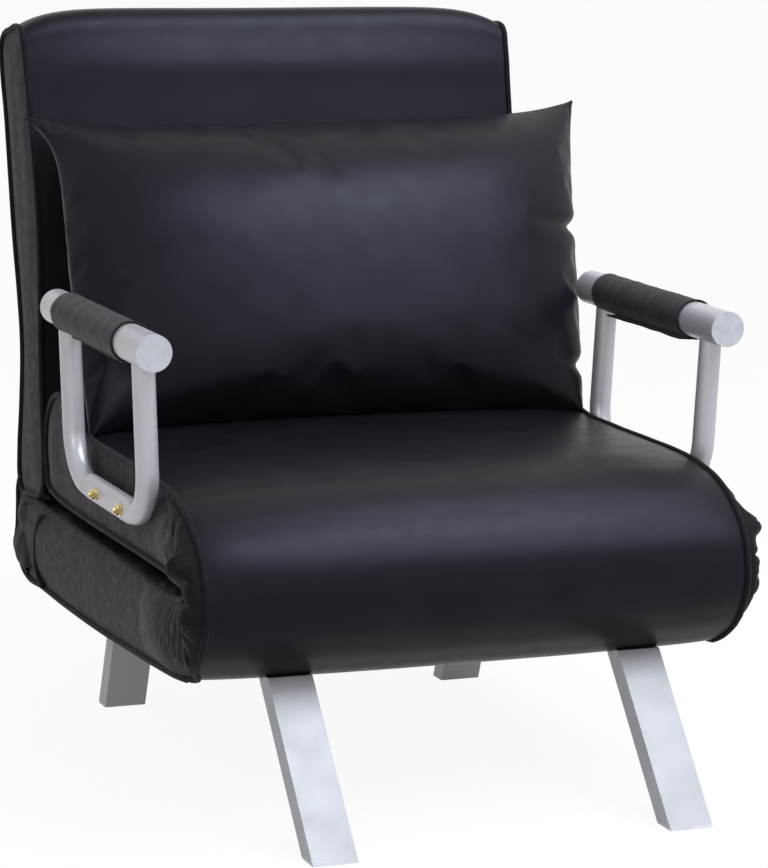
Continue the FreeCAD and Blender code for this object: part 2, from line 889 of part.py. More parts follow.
# Recline ratchet: a notched sector on the base frame, and an arm with a pawl on the back frame
RECLINE = "(90 - back_lean)"
for name, side in SIDES:
    foot_low = "(base_frame_z + (tube_size - plate_foot_height) / 2 - recline_pivot_z)"
    foot_rear = "(base_frame_rear - 3 - recline_pivot_y)"
    sector = sketched_plate(
        [
            (f"{foot_rear} - plate_foot", foot_low),
            ("sector_radius * 0.2", f"{foot_low} - 4"),
            ("sector_radius * 0.2", f"{foot_low} + plate_foot_height + 4"),
            (f"{foot_rear} - plate_foot", f"{foot_low} + plate_foot_height"),
        ],
        [("0", "0", "sector_radius")],
        [("0", "0", "pivot_radius")],
    )
    doc.recompute()
    sketch = new_sketch(sector, "YZ_Plane")
    draw_polygon(
        sketch,
        rectangle(
            "sector_radius - notch_depth",
            "-notch_width / 2",
            "sector_radius + 5",
            "notch_width / 2",
        ),
    )
    notch = pocket(sector, sketch, "2 * plate_thickness")
    notches = sector.newObject("PartDesign::PolarPattern", "Notches")
    notches.Originals = [notch]
    notches.Axis = (origin_plane(sector, "X_Axis"), [""])
    notches.setExpression("Angle", bound(RECLINE))
    notches.setExpression("Occurrences", bound("lock_positions"))
    sector.Tip = notches
    move(sector, f"{side} * {LOWER_PLATE_X}", "recline_pivot_y", "recline_pivot_z")
    finish(sector, f"ratchet_sector_{name}")

    recline_arm = sketched_plate(
        [
            ("-arm_plate_half", "0"),
            ("arm_plate_half", "0"),
            ("arm_plate_half", "arm_plate_length"),
            ("-arm_plate_half", "arm_plate_length"),
            ("-arm_plate_half", "lug_high + 10"),
            ("-lug_reach", "lug_high"),
            ("-lug_reach", "lug_low + 4"),
            ("-arm_plate_half", "lug_low - 8"),
        ],
        [("0", "0", "eye_radius + 3")],
        [
            ("0", "0", "pivot_radius + running_gap"),
            ("-pawl_pivot_reach", "pawl_pivot_rise", "pawl_pivot_radius"),
        ],
    )
    lean_back(recline_arm)
    bind(recline_arm, Placement__Base__x=f"{side} * {UPPER_PLATE_X}")
    finish(recline_arm, f"recline_arm_{name}")

    # The pawl is drawn lifted clear of the sector, about its own pivot
    tooth_tip = "(sector_radius + pawl_lift - pawl_pivot_rise)"
    pawl = sketched_plate(
        [
            ("0", "-pawl_half_height"),
            ("pawl_pivot_reach - pawl_tooth_width / 2", "-pawl_half_height / 2"),
            ("pawl_pivot_reach - pawl_tooth_width / 2", tooth_tip),
            ("pawl_pivot_reach + pawl_tooth_width / 2", tooth_tip),
            ("pawl_pivot_reach + pawl_tooth_width / 2", "pawl_half_height"),
            ("0", "pawl_half_height"),
        ],
        [("0", "0", "pawl_half_height + 1.5")],
        [("0", "0", "pawl_pivot_radius + running_gap")],
    )
    turn(pawl, Vector(1, 0, 0), "-back_lean")
    reach_y = "(-pawl_pivot_reach * cos(back_lean) + pawl_pivot_rise * sin(back_lean))"
    reach_z = "(pawl_pivot_reach * sin(back_lean) + pawl_pivot_rise * cos(back_lean))"
    move(
        pawl,
        f"{side} * {LOWER_PLATE_X}",
        f"recline_pivot_y + {reach_y}",
        f"recline_pivot_z + {reach_z}",
    )
    finish(pawl, f"pawl_{name}")


def pawl_pin(side):
    """A short rivet that carries the pawl on the recline arm."""
    inner = f"({LOWER_PLATE_X} - plate_thickness / 2)"
    span = "(2 * plate_thickness + side_gap)"
    pieces = []
    for start, radius, length in (
        (f"{inner} - running_gap - 2", "pawl_pivot_radius + 2", "2"),
        (f"{inner} - running_gap", "pawl_pivot_radius", f"{span} + running_gap"),
    ):
        piece = doc.addObject("Part::Cylinder", "Pin")
        piece.Placement = Placement(Vector(), Rotation(Vector(0, 1, 0), 90 * side))
        bind(piece, Radius=radius, Height=length)
        pieces.append(move(piece, f"{side} * ({start})", "-pawl_pivot_reach", "pawl_pivot_rise"))
    return lean_back(joined(pieces))


group([pawl_pin(side) for name, side in SIDES], "pawl_pins")

# Seat section
ARM_BOLTS = ("arm_bolt_front", "arm_bolt_rear")


def arm_bores(side, radius):
    """Holes along both bolts of an arm, through the side tube of the seat frame."""
    reach = f"({ARM_X} - {UPPER_HALF} + tube_size + bolt_head)"
    start = f"-{reach}" if side == 1 else "0"
    bores = doc.addObject("Part::Compound", "Bores")
    bores.Links = [rod(start, bolt_y, "0", radius, reach, "X") for bolt_y in ARM_BOLTS]
    return lean_arm(bores, side)


seat_holes = [arm_bores(side, "arm_bolt_radius + bolt_hole_gap") for name, side in SIDES]
finish(
    tube_frame(
        UPPER_HALF,
        "seat_frame_front",
        "seat_frame_rear",
        ["seat_frame_front", "seat_cross_y - tube_size / 2", "seat_frame_rear - tube_size"],
        "seat_frame_z",
        "Y",
        seat_holes,
    ),
    "seat_frame",
)
finish(
    webbing(
        UPPER_HALF, "seat_frame_front", "seat_frame_rear", "(seat_frame_z + tube_size)", False
    ),
    "seat_webbing",
)

seat_low = size("seat_bottom") - size("seat_sag") - 5
seat_high = size("seat_lip_z") + size("seat_crown") + 10
seat_frame_low = size("seat_frame_z")
seat_webbing_high = seat_frame_low + size("tube_size") + 2 * size("strap_thickness")

seat_foam = sliced(seat_form(wall + gap), seat_webbing_high + gap, seat_high)
soft_piece(seat_foam, "seat_foam")

seat_underpad = sliced(seat_form(wall + gap), seat_low, seat_frame_low - gap)
seat_underpad = cut_slots(seat_underpad, rigid_front - 1, slot_front, seat_low, seat_frame_low)
soft_piece(seat_underpad, "seat_underpad")

seat_cover = seat_form(0).cut(seat_form(wall, open_front=4))
seat_cover = cut_slots(seat_cover, rigid_front - 1, slot_front, seat_low, size("seat_bottom") + 10)
arm_hole_radius = size("spacer_radius") + size("cover_hole_gap")
for bolt_y in ARM_BOLTS:
    start = Vector(-half_width - 2, size(bolt_y), size("arm_bolt_z"))
    bore = Part.makeCylinder(arm_hole_radius, 2 * half_width + 4, start, Vector(1, 0, 0))
    seat_cover = seat_cover.cut(bore)
soft_piece(seat_cover, "seat_cover")

# Front fold: the bulge where the mattress turns from the base up to the seat
def front_fold_form():
    face = rigid_front - gap
    nose = size("fold_front")
    belly = size("fold_belly_z")
    low = size("fold_low")
    top = size("seat_shoulder")

    def section(x, share):
        bulge = nose - size("fold_crown") * share
        tip = (bulge, belly)
        start = (face, low)
        end = (face, top + 0.6 * size("seat_crown") * share)
        lower = (bulge + (face - bulge) * 0.26, belly - (belly - low) * 0.62)
        upper = (bulge + (face - bulge) * 0.26, belly + (end[1] - belly) * 0.66)
        return outline_wire(lambda p: Vector(x, *p), start, [(lower, tip), (upper, end), (None, start)])

    form = crowned(half_width + side_spill, section)
    return drawn_in(form, half_width, nose - plan_margin, face + 1, low - 20, top + plan_margin)


fold_z = number(FOLD_Z)
slot_half = size("fold_slot_half")
slot_nose = size("fold_pivot_y") - size("eye_radius") - 6
front_fold = cut_slots(front_fold_form(), slot_nose, rigid_front, fold_z - slot_half, fold_z + slot_half)
soft_piece(front_fold, "front_fold")

# Rear fold: the mattress band around the base's round end, up to the back
def rear_fold_form():
    centre = Vector(0, size("recline_pivot_y"), size("recline_pivot_z"))
    inner = size("rear_round") + gap
    outer = inner + size("rear_fold_depth")
    high = math.radians(size("rear_fold_top"))
    low = math.radians(size("rear_fold_bottom"))
    width = size("mattress_width") - 2

    def at(radius, angle):
        return centre + Vector(-width / 2, radius * math.cos(angle), radius * math.sin(angle))

    middle = (high + low) / 2
    edges = [
        Part.Arc(at(inner, low), at(inner, middle), at(inner, high)).toShape(),
        Part.LineSegment(at(inner, high), at(outer, high)).toShape(),
        Part.Arc(at(outer, high), at(outer, middle), at(outer, low)).toShape(),
        Part.LineSegment(at(outer, low), at(inner, low)).toShape(),
    ]
    return Part.Face(Part.Wire(edges)).extrude(Vector(width, 0, 0))


soft_piece(rear_fold_form(), "rear_fold")

# Arms: a tube bent to a U and pressed flat at its foot, under a round grip
def round_section(place, radius):
    """A circle in six arcs, so that it lofts into the pressed section."""
    angles = [math.radians(a) for a in (-30, 30, 90, 150, 210, 270, 330)]

    def point(angle):
        return place(radius * math.cos(angle), radius * math.sin(angle))

    edges = []
    for start, end in zip(angles, angles[1:]):
        edges.append(Part.Arc(point(start), point((start + end) / 2), point(end)).toShape())
    return Part.Wire(edges)


def pressed_section(place, thickness, height):
    """A flat-sided section: two straight sides and four quarter rounds."""
    radius = thickness / 2
    flat = height / 2 - radius
    diagonal = radius * math.sqrt(0.5)

    def quarter(x_way, z_way, first):
        side = place(x_way * radius, z_way * flat)
        end = place(0, z_way * (flat + radius))
        through = place(x_way * diagonal, z_way * (flat + diagonal))
        ends = (side, end) if first else (end, side)
        return Part.Arc(ends[0], through, ends[1]).toShape()

    return Part.Wire(
        [
            Part.LineSegment(place(radius, -flat), place(radius, flat)).toShape(),
            quarter(1, 1, True),
            quarter(-1, 1, False),
            Part.LineSegment(place(-radius, flat), place(-radius, -flat)).toShape(),
            quarter(-1, -1, True),
            quarter(1, -1, False),
        ]
    )


def arm_loop_form(inset):
    """The loop's outside, or with an inset its bore, drawn about the arm bolts."""
    radius = size("arm_tube_radius") - inset
    thickness = size("pressed_thickness") - 2 * inset
    height = size("pressed_height") - 2 * inset
    corner = size("arm_corner")
    top = size("grip_z") - size("arm_bolt_z")
    run = size("press_run")
    pieces = []
    feet = []
    for y, inward in ((size("arm_front"), 1), (size("arm_rear"), -1)):
        turn_start = Vector(0, y, corner)
        turn_end = Vector(0, y + inward * corner, 0)
        bend = corner * (1 - math.sqrt(0.5))
        path = Part.Wire(
            [
                Part.LineSegment(Vector(0, y, top), turn_start).toShape(),
                Part.Arc(turn_start, Vector(0, y + inward * bend, bend), turn_end).toShape(),
            ]
        )
        ring = Part.Wire(Part.makeCircle(radius, Vector(0, y, top), Vector(0, 0, -1)))
        pieces.append(path.makePipeShell([ring], True, False))
        flat_start = turn_end.y + inward * run
        feet.append(flat_start)
        pieces.append(
            Part.makeLoft(
                [
                    round_section(lambda a, b: Vector(a, turn_end.y, b), radius),
                    pressed_section(lambda a, b: Vector(a, flat_start, b), thickness, height),
                ],
                True,
                True,
            )
        )
    foot = Part.Face(pressed_section(lambda a, b: Vector(a, feet[0], b), thickness, height))
    pieces.append(foot.extrude(Vector(0, feet[1] - feet[0], 0)))
    return pieces[0].multiFuse(pieces[1:])


grip_height = size("grip_z") - size("arm_bolt_z")
bolt_hole = size("arm_bolt_radius") + size("running_gap")
for name, side in SIDES:
    loop = arm_loop_form(0).cut(arm_loop_form(size("arm_tube_wall")))
    grip_length = size("grip_rear") - size("grip_front")
    grip_start = Vector(0, size("grip_front"), grip_height)
    loop = loop.cut(Part.makeCylinder(size("grip_radius"), grip_length, grip_start, Vector(0, 1, 0)))
    for bolt_y in ARM_BOLTS:
        start = Vector(-size("pressed_thickness"), size(bolt_y), 0)
        loop = loop.cut(
            Part.makeCylinder(bolt_hole, 2 * size("pressed_thickness"), start, Vector(1, 0, 0))
        )
    feature = doc.addObject("Part::Feature", "Loop")
    feature.Shape = loop
    lean_arm(finish(feature, f"arm_loop_{name}"), side)

    grip_rise = "grip_z - arm_bolt_z"
    outside = rod("0", "grip_front", grip_rise, "grip_radius", "grip_rear - grip_front", "Y")
    inside = rod(
        "0", "grip_front - 1", grip_rise, "grip_radius - grip_wall", "grip_rear - grip_front + 2", "Y"
    )
    lean_arm(finish(without(outside, [inside]), f"arm_grip_{name}"), side)

    sleeve_radius = "grip_radius + pad_gap + pad_thickness"
    sleeve = rod("0", "pad_front", grip_rise, sleeve_radius, "pad_rear - pad_front", "Y")
    core = rod("0", "pad_front - 1", grip_rise, "grip_radius + pad_gap", "pad_rear - pad_front + 2", "Y")
    post = rod("0", "arm_rear", "0", "arm_tube_radius + pad_gap", grip_rise)
    lean_arm(finish(without(sleeve, [core, post]), f"arm_pad_{name}"), side)


def end_cap(side, end):
    """A flat disc with a plug that closes one end of a grip."""
    rise = "grip_z - arm_bolt_z"
    plug_radius = "grip_radius - grip_wall - running_gap"
    if end == "front":
        disc = rod("0", "grip_front - end_cap", rise, "grip_radius", "end_cap", "Y")
        plug = rod("0", "grip_front", rise, plug_radius, "plug_depth", "Y")
    else:
        disc = rod("0", "grip_rear", rise, "grip_radius", "end_cap", "Y")
        plug = rod("0", "grip_rear - plug_depth", rise, plug_radius, "plug_depth", "Y")
    return lean_arm(joined([disc, plug]), side)


group([end_cap(side, end) for name, side in SIDES for end in ("front", "rear")], "arm_end_caps")


def arm_bolt(side, bolt_y):
    """A bolt from inside the seat frame out through the pressed foot."""
    outer = "(pressed_thickness / 2 + washer_thickness + nut_height + arm_bolt_end)"
    inner = f"({ARM_X} - {UPPER_HALF} + tube_size + spacer_seat)"
    length = f"({outer} + {inner})"
    start = f"-{inner}" if side == 1 else f"-{outer}"
    shank = rod(start, bolt_y, "0", "arm_bolt_radius", length, "X")
    head_start = f"-{inner} - bolt_head" if side == 1 else inner
    head = hexagon(head_start, bolt_y, "0", "nut_radius", "bolt_head")
    return lean_arm(joined([shank, head]), side)


def arm_nut(side, bolt_y):
    start = "pressed_thickness / 2 + washer_thickness"
    place = start if side == 1 else f"-({start}) - nut_height"
    nut = hexagon(place, bolt_y, "0", "nut_radius", "nut_height")
    bore = rod(f"{place} - 1", bolt_y, "0", "arm_bolt_radius", "nut_height + 2", "X")
    return lean_arm(without(nut, [bore]), side)


def arm_washer(side, bolt_y):
    start = "pressed_thickness / 2"
    place = start if side == 1 else f"-({start}) - washer_thickness"
    disc = rod(place, bolt_y, "0", "washer_radius", "washer_thickness", "X")
    bore = rod(f"{place} - 1", bolt_y, "0", "arm_bolt_radius + running_gap", "washer_thickness + 2", "X")
    return lean_arm(without(disc, [bore]), side)


def arm_spacer(side, bolt_y):
    """A sleeve that stands between the seat frame and the arm's foot."""
    length = f"({ARM_X} - pressed_thickness / 2 - {UPPER_HALF} - spacer_seat)"
    place = f"-(pressed_thickness / 2) - {length}" if side == 1 else "pressed_thickness / 2"
    sleeve = rod(place, bolt_y, "0", "spacer_radius", length, "X")
    bore = rod(f"{place} - 1", bolt_y, "0", "arm_bolt_radius + running_gap", f"{length} + 2", "X")
    return lean_arm(without(sleeve, [bore]), side)


for label, make in (
    ("arm_bolts", arm_bolt),
    ("arm_nuts", arm_nut),
    ("arm_washers", arm_washer),
    ("arm_spacers", arm_spacer),
):
    group([make(side, bolt_y) for name, side in SIDES for bolt_y in ARM_BOLTS], label)

# Back section, drawn upright about the recline pivot
half_tube = "(tube_size / 2)"
back_frame = tube_frame(
    UPPER_HALF,
    "back_frame_start",
    "back_frame_end",
    ["back_frame_start + 45", "back_cross", "back_frame_end - tube_size"],
    f"-{half_tube}",
    "Z",
)
lean_back(finish(back_frame, "back_frame"))
lean_back(
    finish(
        webbing(UPPER_HALF, "back_frame_start + 45", "back_frame_end", f"-{half_tube}", True),
        "back_webbing",
    )
)
back_place = Placement(
    Vector(0, size("recline_pivot_y"), size("recline_pivot_z")),
    Rotation(Vector(1, 0, 0), -size("back_lean")),
)
back_inner = back_form(wall + gap)
back_box = back_inner.BoundBox
tube_half = size("tube_size") / 2
webbing_front = -tube_half - 2 * size("strap_thickness")
front_layer = cuboid(
    (back_box.XMin - 1, back_box.YMin - 1, back_box.ZMin - 1),
    (back_box.XMax + 1, webbing_front - gap, back_box.ZMax + 1),
)
rear_layer = cuboid(
    (back_box.XMin - 1, tube_half + gap, back_box.ZMin - 1),
    (back_box.XMax + 1, back_box.YMax + 1, back_box.ZMax + 1),
)
slot_top = size("arm_plate_length") + 6
back_reach = size("lug_reach") + 4
soft_piece(
    cut_slots(back_inner.common(front_layer), -back_reach, back_reach, 0, slot_top), "back_foam", back_place
)
soft_piece(
    cut_slots(back_inner.common(rear_layer), -back_reach, back_reach, 0, slot_top),
    "back_rear_pad",
    back_place,
)
back_cover = back_form(0).cut(back_form(wall))
back_cover = cut_slots(back_cover, -back_reach, size("eye_radius") + 8, 0, size("back_start") + 10)
soft_piece(back_cover, "back_cover", back_place)


# Loose pillow, drawn upright about its middle
def pillow_form(inset):
    half = size("mattress_width") / 2 + size("pillow_overhang") - inset

    def section(station):
        fullness = math.sqrt(max(0.0, 1 - abs(station) ** 2.4))
        thick = (size("pillow_thickness") - 2 * size("pillow_seam")) * fullness + 2 * size("pillow_seam")
        tall = size("pillow_height") + size("pillow_ear") * (station * station) - 2 * inset
        belly = thick / 2 - inset
        seam = size("pillow_seam") / 2 - inset
        up = tall / 2
        runs = [
            (None, (seam, -up)),
            ((belly, 0), (seam, up)),
            (None, (-seam, up)),
            ((-belly, 0), (-seam, -up)),
        ]
        return outline_wire(lambda p: Vector(station * half, *p), (-seam, -up), runs)

    stations = (-1, -0.93, -0.75, -0.4, 0, 0.4, 0.75, 0.93, 1)
    return Part.makeLoft([section(s) for s in stations], True, False)


pillow_lean = math.radians(size("pillow_lean"))
pillow_half = size("pillow_height") / 2
pillow_foot_y = size("pillow_y") - pillow_half * math.sin(pillow_lean)
lip_share = (pillow_foot_y - size("seat_flat_rear")) / (size("seat_lip_y") - size("seat_flat_rear"))
seat_rise = (size("seat_lip_z") - size("seat_top")) * lip_share + size("seat_crown")
pillow_floor = size("seat_top") + seat_rise + size("pillow_gap") - size("pillow_settle")
pillow_z = pillow_floor + pillow_half * math.cos(pillow_lean)
pillow_place = Placement(
    Vector(0, size("pillow_y"), pillow_z), Rotation(Vector(1, 0, 0), -size("pillow_lean"))
)
soft_piece(pillow_form(0).cut(pillow_form(wall)), "pillow_cover", pillow_place)
soft_piece(pillow_form(wall + gap), "pillow_fill", pillow_place)

doc.recompute()
for thing in doc.Objects:
    if "Invalid" in thing.State or "Error" in thing.State:
        raise SystemExit(f"{thing.Label} did not recompute: {thing.State}")
for label, thing in finished.items():
    shape = thing.Shape
    if shape.isNull() or not shape.isValid() or not shape.Solids:
        raise SystemExit(f"{label} is not a valid solid")

os.makedirs("parts", exist_ok=True)
for label, thing in finished.items():
    thing.Shape.exportStep(os.path.join("parts", f"{label}.step"))
    box = thing.Shape.BoundBox
    print(
        f"{label:24} {len(thing.Shape.Solids)} solids {thing.Shape.Volume / 1000:9.1f} cm3"
        f" x {box.XMin:7.1f} {box.XMax:7.1f} y {box.YMin:7.1f} {box.YMax:7.1f}"
        f" z {box.ZMin:7.1f} {box.ZMax:7.1f}"
    )
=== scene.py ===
import json
import math

import bmesh
import bpy
from mathutils import Matrix, Vector, noise


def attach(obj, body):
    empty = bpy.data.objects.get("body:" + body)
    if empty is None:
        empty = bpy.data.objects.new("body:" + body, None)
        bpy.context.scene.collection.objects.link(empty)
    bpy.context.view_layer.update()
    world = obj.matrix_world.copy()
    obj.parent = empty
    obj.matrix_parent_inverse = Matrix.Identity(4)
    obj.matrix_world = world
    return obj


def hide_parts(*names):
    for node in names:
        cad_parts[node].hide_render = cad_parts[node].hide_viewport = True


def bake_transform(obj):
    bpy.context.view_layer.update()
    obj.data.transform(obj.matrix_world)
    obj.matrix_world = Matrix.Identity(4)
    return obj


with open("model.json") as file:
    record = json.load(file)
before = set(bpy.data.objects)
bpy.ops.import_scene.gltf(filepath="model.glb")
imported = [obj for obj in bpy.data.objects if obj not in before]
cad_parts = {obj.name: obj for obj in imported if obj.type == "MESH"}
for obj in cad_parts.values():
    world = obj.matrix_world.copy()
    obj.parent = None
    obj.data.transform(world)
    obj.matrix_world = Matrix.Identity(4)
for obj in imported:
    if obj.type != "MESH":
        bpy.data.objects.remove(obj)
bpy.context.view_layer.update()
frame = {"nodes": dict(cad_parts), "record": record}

# Half the mattress's width, and how many columns of faces run across it
HALF = 0.310
COLUMNS = 96
BACK_LEAN = math.radians(9.8)
RECLINE_PIVOT = Vector((0, 0.315, 0.190))


# Finishes
def new_finish(name):
    material = bpy.data.materials.new(name)
    material.use_nodes = True
    tree = material.node_tree
    place = tree.nodes.new("ShaderNodeTexCoord").outputs["Object"]
    return material, tree, tree.nodes["Principled BSDF"], place


def stretched(tree, place, scale):
    mapping = tree.nodes.new("ShaderNodeMapping")
    mapping.inputs["Scale"].default_value = scale
    tree.links.new(place, mapping.inputs["Vector"])
    return mapping.outputs["Vector"]


def clouds(tree, place, scale, detail=3.0):
    node = tree.nodes.new("ShaderNodeTexNoise")
    node.inputs["Scale"].default_value = scale
    node.inputs["Detail"].default_value = detail
    tree.links.new(place, node.inputs["Vector"])
    return node.outputs["Fac"]


def cells(tree, place, scale):
    node = tree.nodes.new("ShaderNodeTexVoronoi")
    node.feature = "SMOOTH_F1"
    node.inputs["Scale"].default_value = scale
    tree.links.new(place, node.inputs["Vector"])
    return node.outputs["Distance"]


def between(tree, field, low, high):
    """Maps a field from the middle of its range onto two numbers."""
    node = tree.nodes.new("ShaderNodeMapRange")
    for socket, value in zip(("From Min", "From Max", "To Min", "To Max"), (0.3, 0.7, low, high)):
        node.inputs[socket].default_value = value
    tree.links.new(field, node.inputs["Value"])
    return node.outputs["Result"]


def tinted(tree, field, dark, pale):
    """Mixes two colours by a field."""
    node = tree.nodes.new("ShaderNodeMix")
    node.data_type = "RGBA"
    node.inputs["A"].default_value = (*dark, 1)
    node.inputs["B"].default_value = (*pale, 1)
    tree.links.new(between(tree, field, 0, 1), node.inputs["Factor"])
    return node.outputs["Result"]


def relief(tree, height, strength, distance, under=None):
    node = tree.nodes.new("ShaderNodeBump")
    node.inputs["Strength"].default_value = strength
    node.inputs["Distance"].default_value = distance
    tree.links.new(height, node.inputs["Height"])
    if under is not None:
        tree.links.new(under, node.inputs["Normal"])
    return node.outputs["Normal"]


def leather():
    material, tree, shader, place = new_finish("black_leatherette")
    tone = tinted(tree, clouds(tree, place, 14), (0.0044, 0.0033, 0.0050), (0.0066, 0.0052, 0.0074))
    tree.links.new(tone, shader.inputs["Base Color"])
    tree.links.new(between(tree, clouds(tree, place, 40), 0.36, 0.43), shader.inputs["Roughness"])
    shader.inputs["Specular IOR Level"].default_value = 0.14
    shader.inputs["Specular Tint"].default_value = (0.76, 0.80, 1.0, 1)
    grain = relief(tree, cells(tree, place, 950), strength=0.10, distance=0.0004)
    sag = relief(tree, clouds(tree, place, 7, 1), strength=0.10, distance=0.004, under=grain)
    tree.links.new(sag, shader.inputs["Normal"])
    return material


def gusset_cloth(name, dark, pale, shine):
    material, tree, shader, place = new_finish(name)
    tree.links.new(tinted(tree, clouds(tree, place, 30, 5), dark, pale), shader.inputs["Base Color"])
    warm = (1.0, 0.92, 0.99, 1)
    shader.inputs["Specular IOR Level"].default_value = shine
    shader.inputs["Specular Tint"].default_value = warm
    shader.inputs["Sheen Tint"].default_value = warm
    tree.links.new(between(tree, clouds(tree, place, 90), 0.62, 0.8), shader.inputs["Roughness"])
    shader.inputs["Sheen Weight"].default_value = 0.06
    shader.inputs["Sheen Roughness"].default_value = 0.45
    weave = relief(tree, clouds(tree, place, 1500, 2), strength=0.25, distance=0.0003)
    creases = clouds(tree, stretched(tree, place, (20, 110, 16)), 1.0, 4)
    tree.links.new(relief(tree, creases, 0.22, 0.0025, under=weave), shader.inputs["Normal"])
    return material


def sleeve_cloth():
    material, tree, shader, place = new_finish("charcoal_sleeve")
    tone = tinted(tree, clouds(tree, place, 60, 5), (0.0046, 0.0048, 0.0056), (0.0086, 0.0088, 0.0100))
    tree.links.new(tone, shader.inputs["Base Color"])
    shader.inputs["Roughness"].default_value = 0.78
    shader.inputs["Specular IOR Level"].default_value = 0.28
    shader.inputs["Sheen Weight"].default_value = 0.08
    weave = relief(tree, clouds(tree, place, 2200, 1), strength=0.35, distance=0.0003)
    folds = clouds(tree, stretched(tree, place, (40, 160, 40)), 1.0, 3)
    tree.links.new(relief(tree, folds, 0.25, 0.002, under=weave), shader.inputs["Normal"])
    return material


def metal(name, dark, pale, roughness, metallic, fleck_scale, fleck_depth):
    material, tree, shader, place = new_finish(name)
    flecks = clouds(tree, place, fleck_scale, 2)
    tree.links.new(tinted(tree, flecks, dark, pale), shader.inputs["Base Color"])
    dull = between(tree, clouds(tree, place, 25), roughness - 0.05, roughness + 0.05)
    tree.links.new(dull, shader.inputs["Roughness"])
    shader.inputs["Metallic"].default_value = metallic
    tree.links.new(relief(tree, clouds(tree, place, 900, 2), 0.3, fleck_depth), shader.inputs["Normal"])
    return material


def plain_cloth(name, dark, pale, scale):
    material, tree, shader, place = new_finish(name)
    tree.links.new(tinted(tree, clouds(tree, place, scale), dark, pale), shader.inputs["Base Color"])
    shader.inputs["Roughness"].default_value = 0.9
    tree.links.new(relief(tree, clouds(tree, place, scale * 12), 0.4, 0.0005), shader.inputs["Normal"])
    return material


def moulded(name, dark, pale, roughness):
    material, tree, shader, place = new_finish(name)
    tree.links.new(tinted(tree, clouds(tree, place, 80), dark, pale), shader.inputs["Base Color"])
    shader.inputs["Roughness"].default_value = roughness
    tree.links.new(relief(tree, clouds(tree, place, 1400), 0.15, 0.0002), shader.inputs["Normal"])
    return material


LEATHER = leather()
GUSSET = gusset_cloth("charcoal_gusset", (0.0060, 0.0050, 0.0057), (0.0086, 0.0073, 0.0083), shine=0.20)
# A darker copy of the gusset cloth: on the cheeks of the front fold its darker colour is painted shade in
# the deep creases, and on the pipings it is their own dark colour
CHEEK_SHADE_AND_PIPING_CLOTH = gusset_cloth("cheek_shade_and_piping_cloth", (0.0032, 0.0027, 0.0032), (0.0060, 0.0051, 0.0059), shine=0.10)
SLEEVE = sleeve_cloth()
# The scale and the depth of the flecks in the silver paints
FLECKS = (1800, 0.00008)
FINISHES = {
    "leather": LEATHER,
    "gusset": GUSSET,
    "pad_fabric": SLEEVE,
    "frame_paint": metal("silver_paint", (0.38, 0.37, 0.38), (0.46, 0.45, 0.46), 0.34, 0.30, *FLECKS),
    "zinc": metal("yellow_zinc", (0.50, 0.37, 0.14), (0.75, 0.62, 0.32), 0.32, 1.0, 160, 0.0001),
    "foam": plain_cloth("pale_foam", (0.70, 0.66, 0.52), (0.80, 0.76, 0.62), scale=60),
    "webbing": plain_cloth("black_webbing", (0.02, 0.02, 0.02), (0.045, 0.045, 0.045), scale=300),
    "black_plastic": moulded("black_plastic", (0.014, 0.014, 0.015), (0.022, 0.022, 0.023), roughness=0.5),
    "silver_plastic": moulded("silver_plastic", (0.38, 0.375, 0.38), (0.46, 0.455, 0.46), roughness=0.38),
}
# A darker copy of the silver frame paint for the legs: its darker colour is painted shade that holds the
# legs down under the lamps
SHADED_LEG_PAINT = metal("dull_silver_paint", (0.262, 0.257, 0.262), (0.315, 0.310, 0.315), 0.40, 0.25, *FLECKS)
for part in frame["record"]["subparts"]:
    # The legs take the darker copy of the paint, as painted shade
    is_leg = part["material_slot"] == "frame_paint" and "leg" in part["node"]
    for holder in frame["nodes"][part["node"]].material_slots:
        holder.material = SHADED_LEG_PAINT if is_leg else FINISHES[part["material_slot"]]


# Rules for soft forms
def ripple(point, scale, seed=0.0):
    """A smooth random number between about -1 and 1 at a point."""
    return noise.noise(Vector(point) * scale + Vector((seed, seed * 0.7, -seed)))


def ramp(distance, length):
    """Rises from 0 to 1 over a length, and is level before and after it."""
    return min(1.0, max(0.0, distance / length))


def arch(share):
    """Rises from 0 to 1 and falls back to 0 as a share goes from 0 to 1."""
    return math.sin(math.pi * share)


def bell(offset, width, power=2):
    """1 in the middle, and fading to 0 on both sides of it."""
    return math.exp(-((offset / width) ** power))


def crown(amount, across_share, sharpness):
    """How high a crowned surface stands: nothing at its seams, all of it in the middle."""
    return amount * (1 - across_share ** sharpness)


# Lines and shells
TOUCHING = 1e-5
# The share of its way that the last ring of a side panel goes to its gather line
NEARLY_CLOSED = 0.985
# A y behind the whole chair
ALL_ROUND = 9.0
# The area of a face that is too thin for smooth shading
SLIVER = 2e-6
CORD_RADIUS = 0.0035
# How far the middle of a cord stands out from the side
CORD_PROUD = 0.0012


def mesh_of(curve):
    """The mesh of a curve, which is then removed."""
    holder = bpy.data.objects.new(curve.name, curve)
    mesh = bpy.data.meshes.new_from_object(holder)
    bpy.data.objects.remove(holder)
    bpy.data.curves.remove(curve)
    return mesh


def smooth_line(knots, steps, closed=False):
    """Points of a smooth line through a few knots, given as pairs of y and z."""
    curve = bpy.data.curves.new("line", "CURVE")
    curve.dimensions = "3D"
    curve.resolution_u = steps
    spline = curve.splines.new("BEZIER")
    spline.bezier_points.add(len(knots) - 1)
    for knot, (y, z) in zip(spline.bezier_points, knots):
        knot.co = (0, y, z)
        knot.handle_left_type = knot.handle_right_type = "AUTO"
    spline.use_cyclic_u = closed
    mesh = mesh_of(curve)
    points = [v.co.copy() for v in mesh.vertices]
    bpy.data.meshes.remove(mesh)
    return points


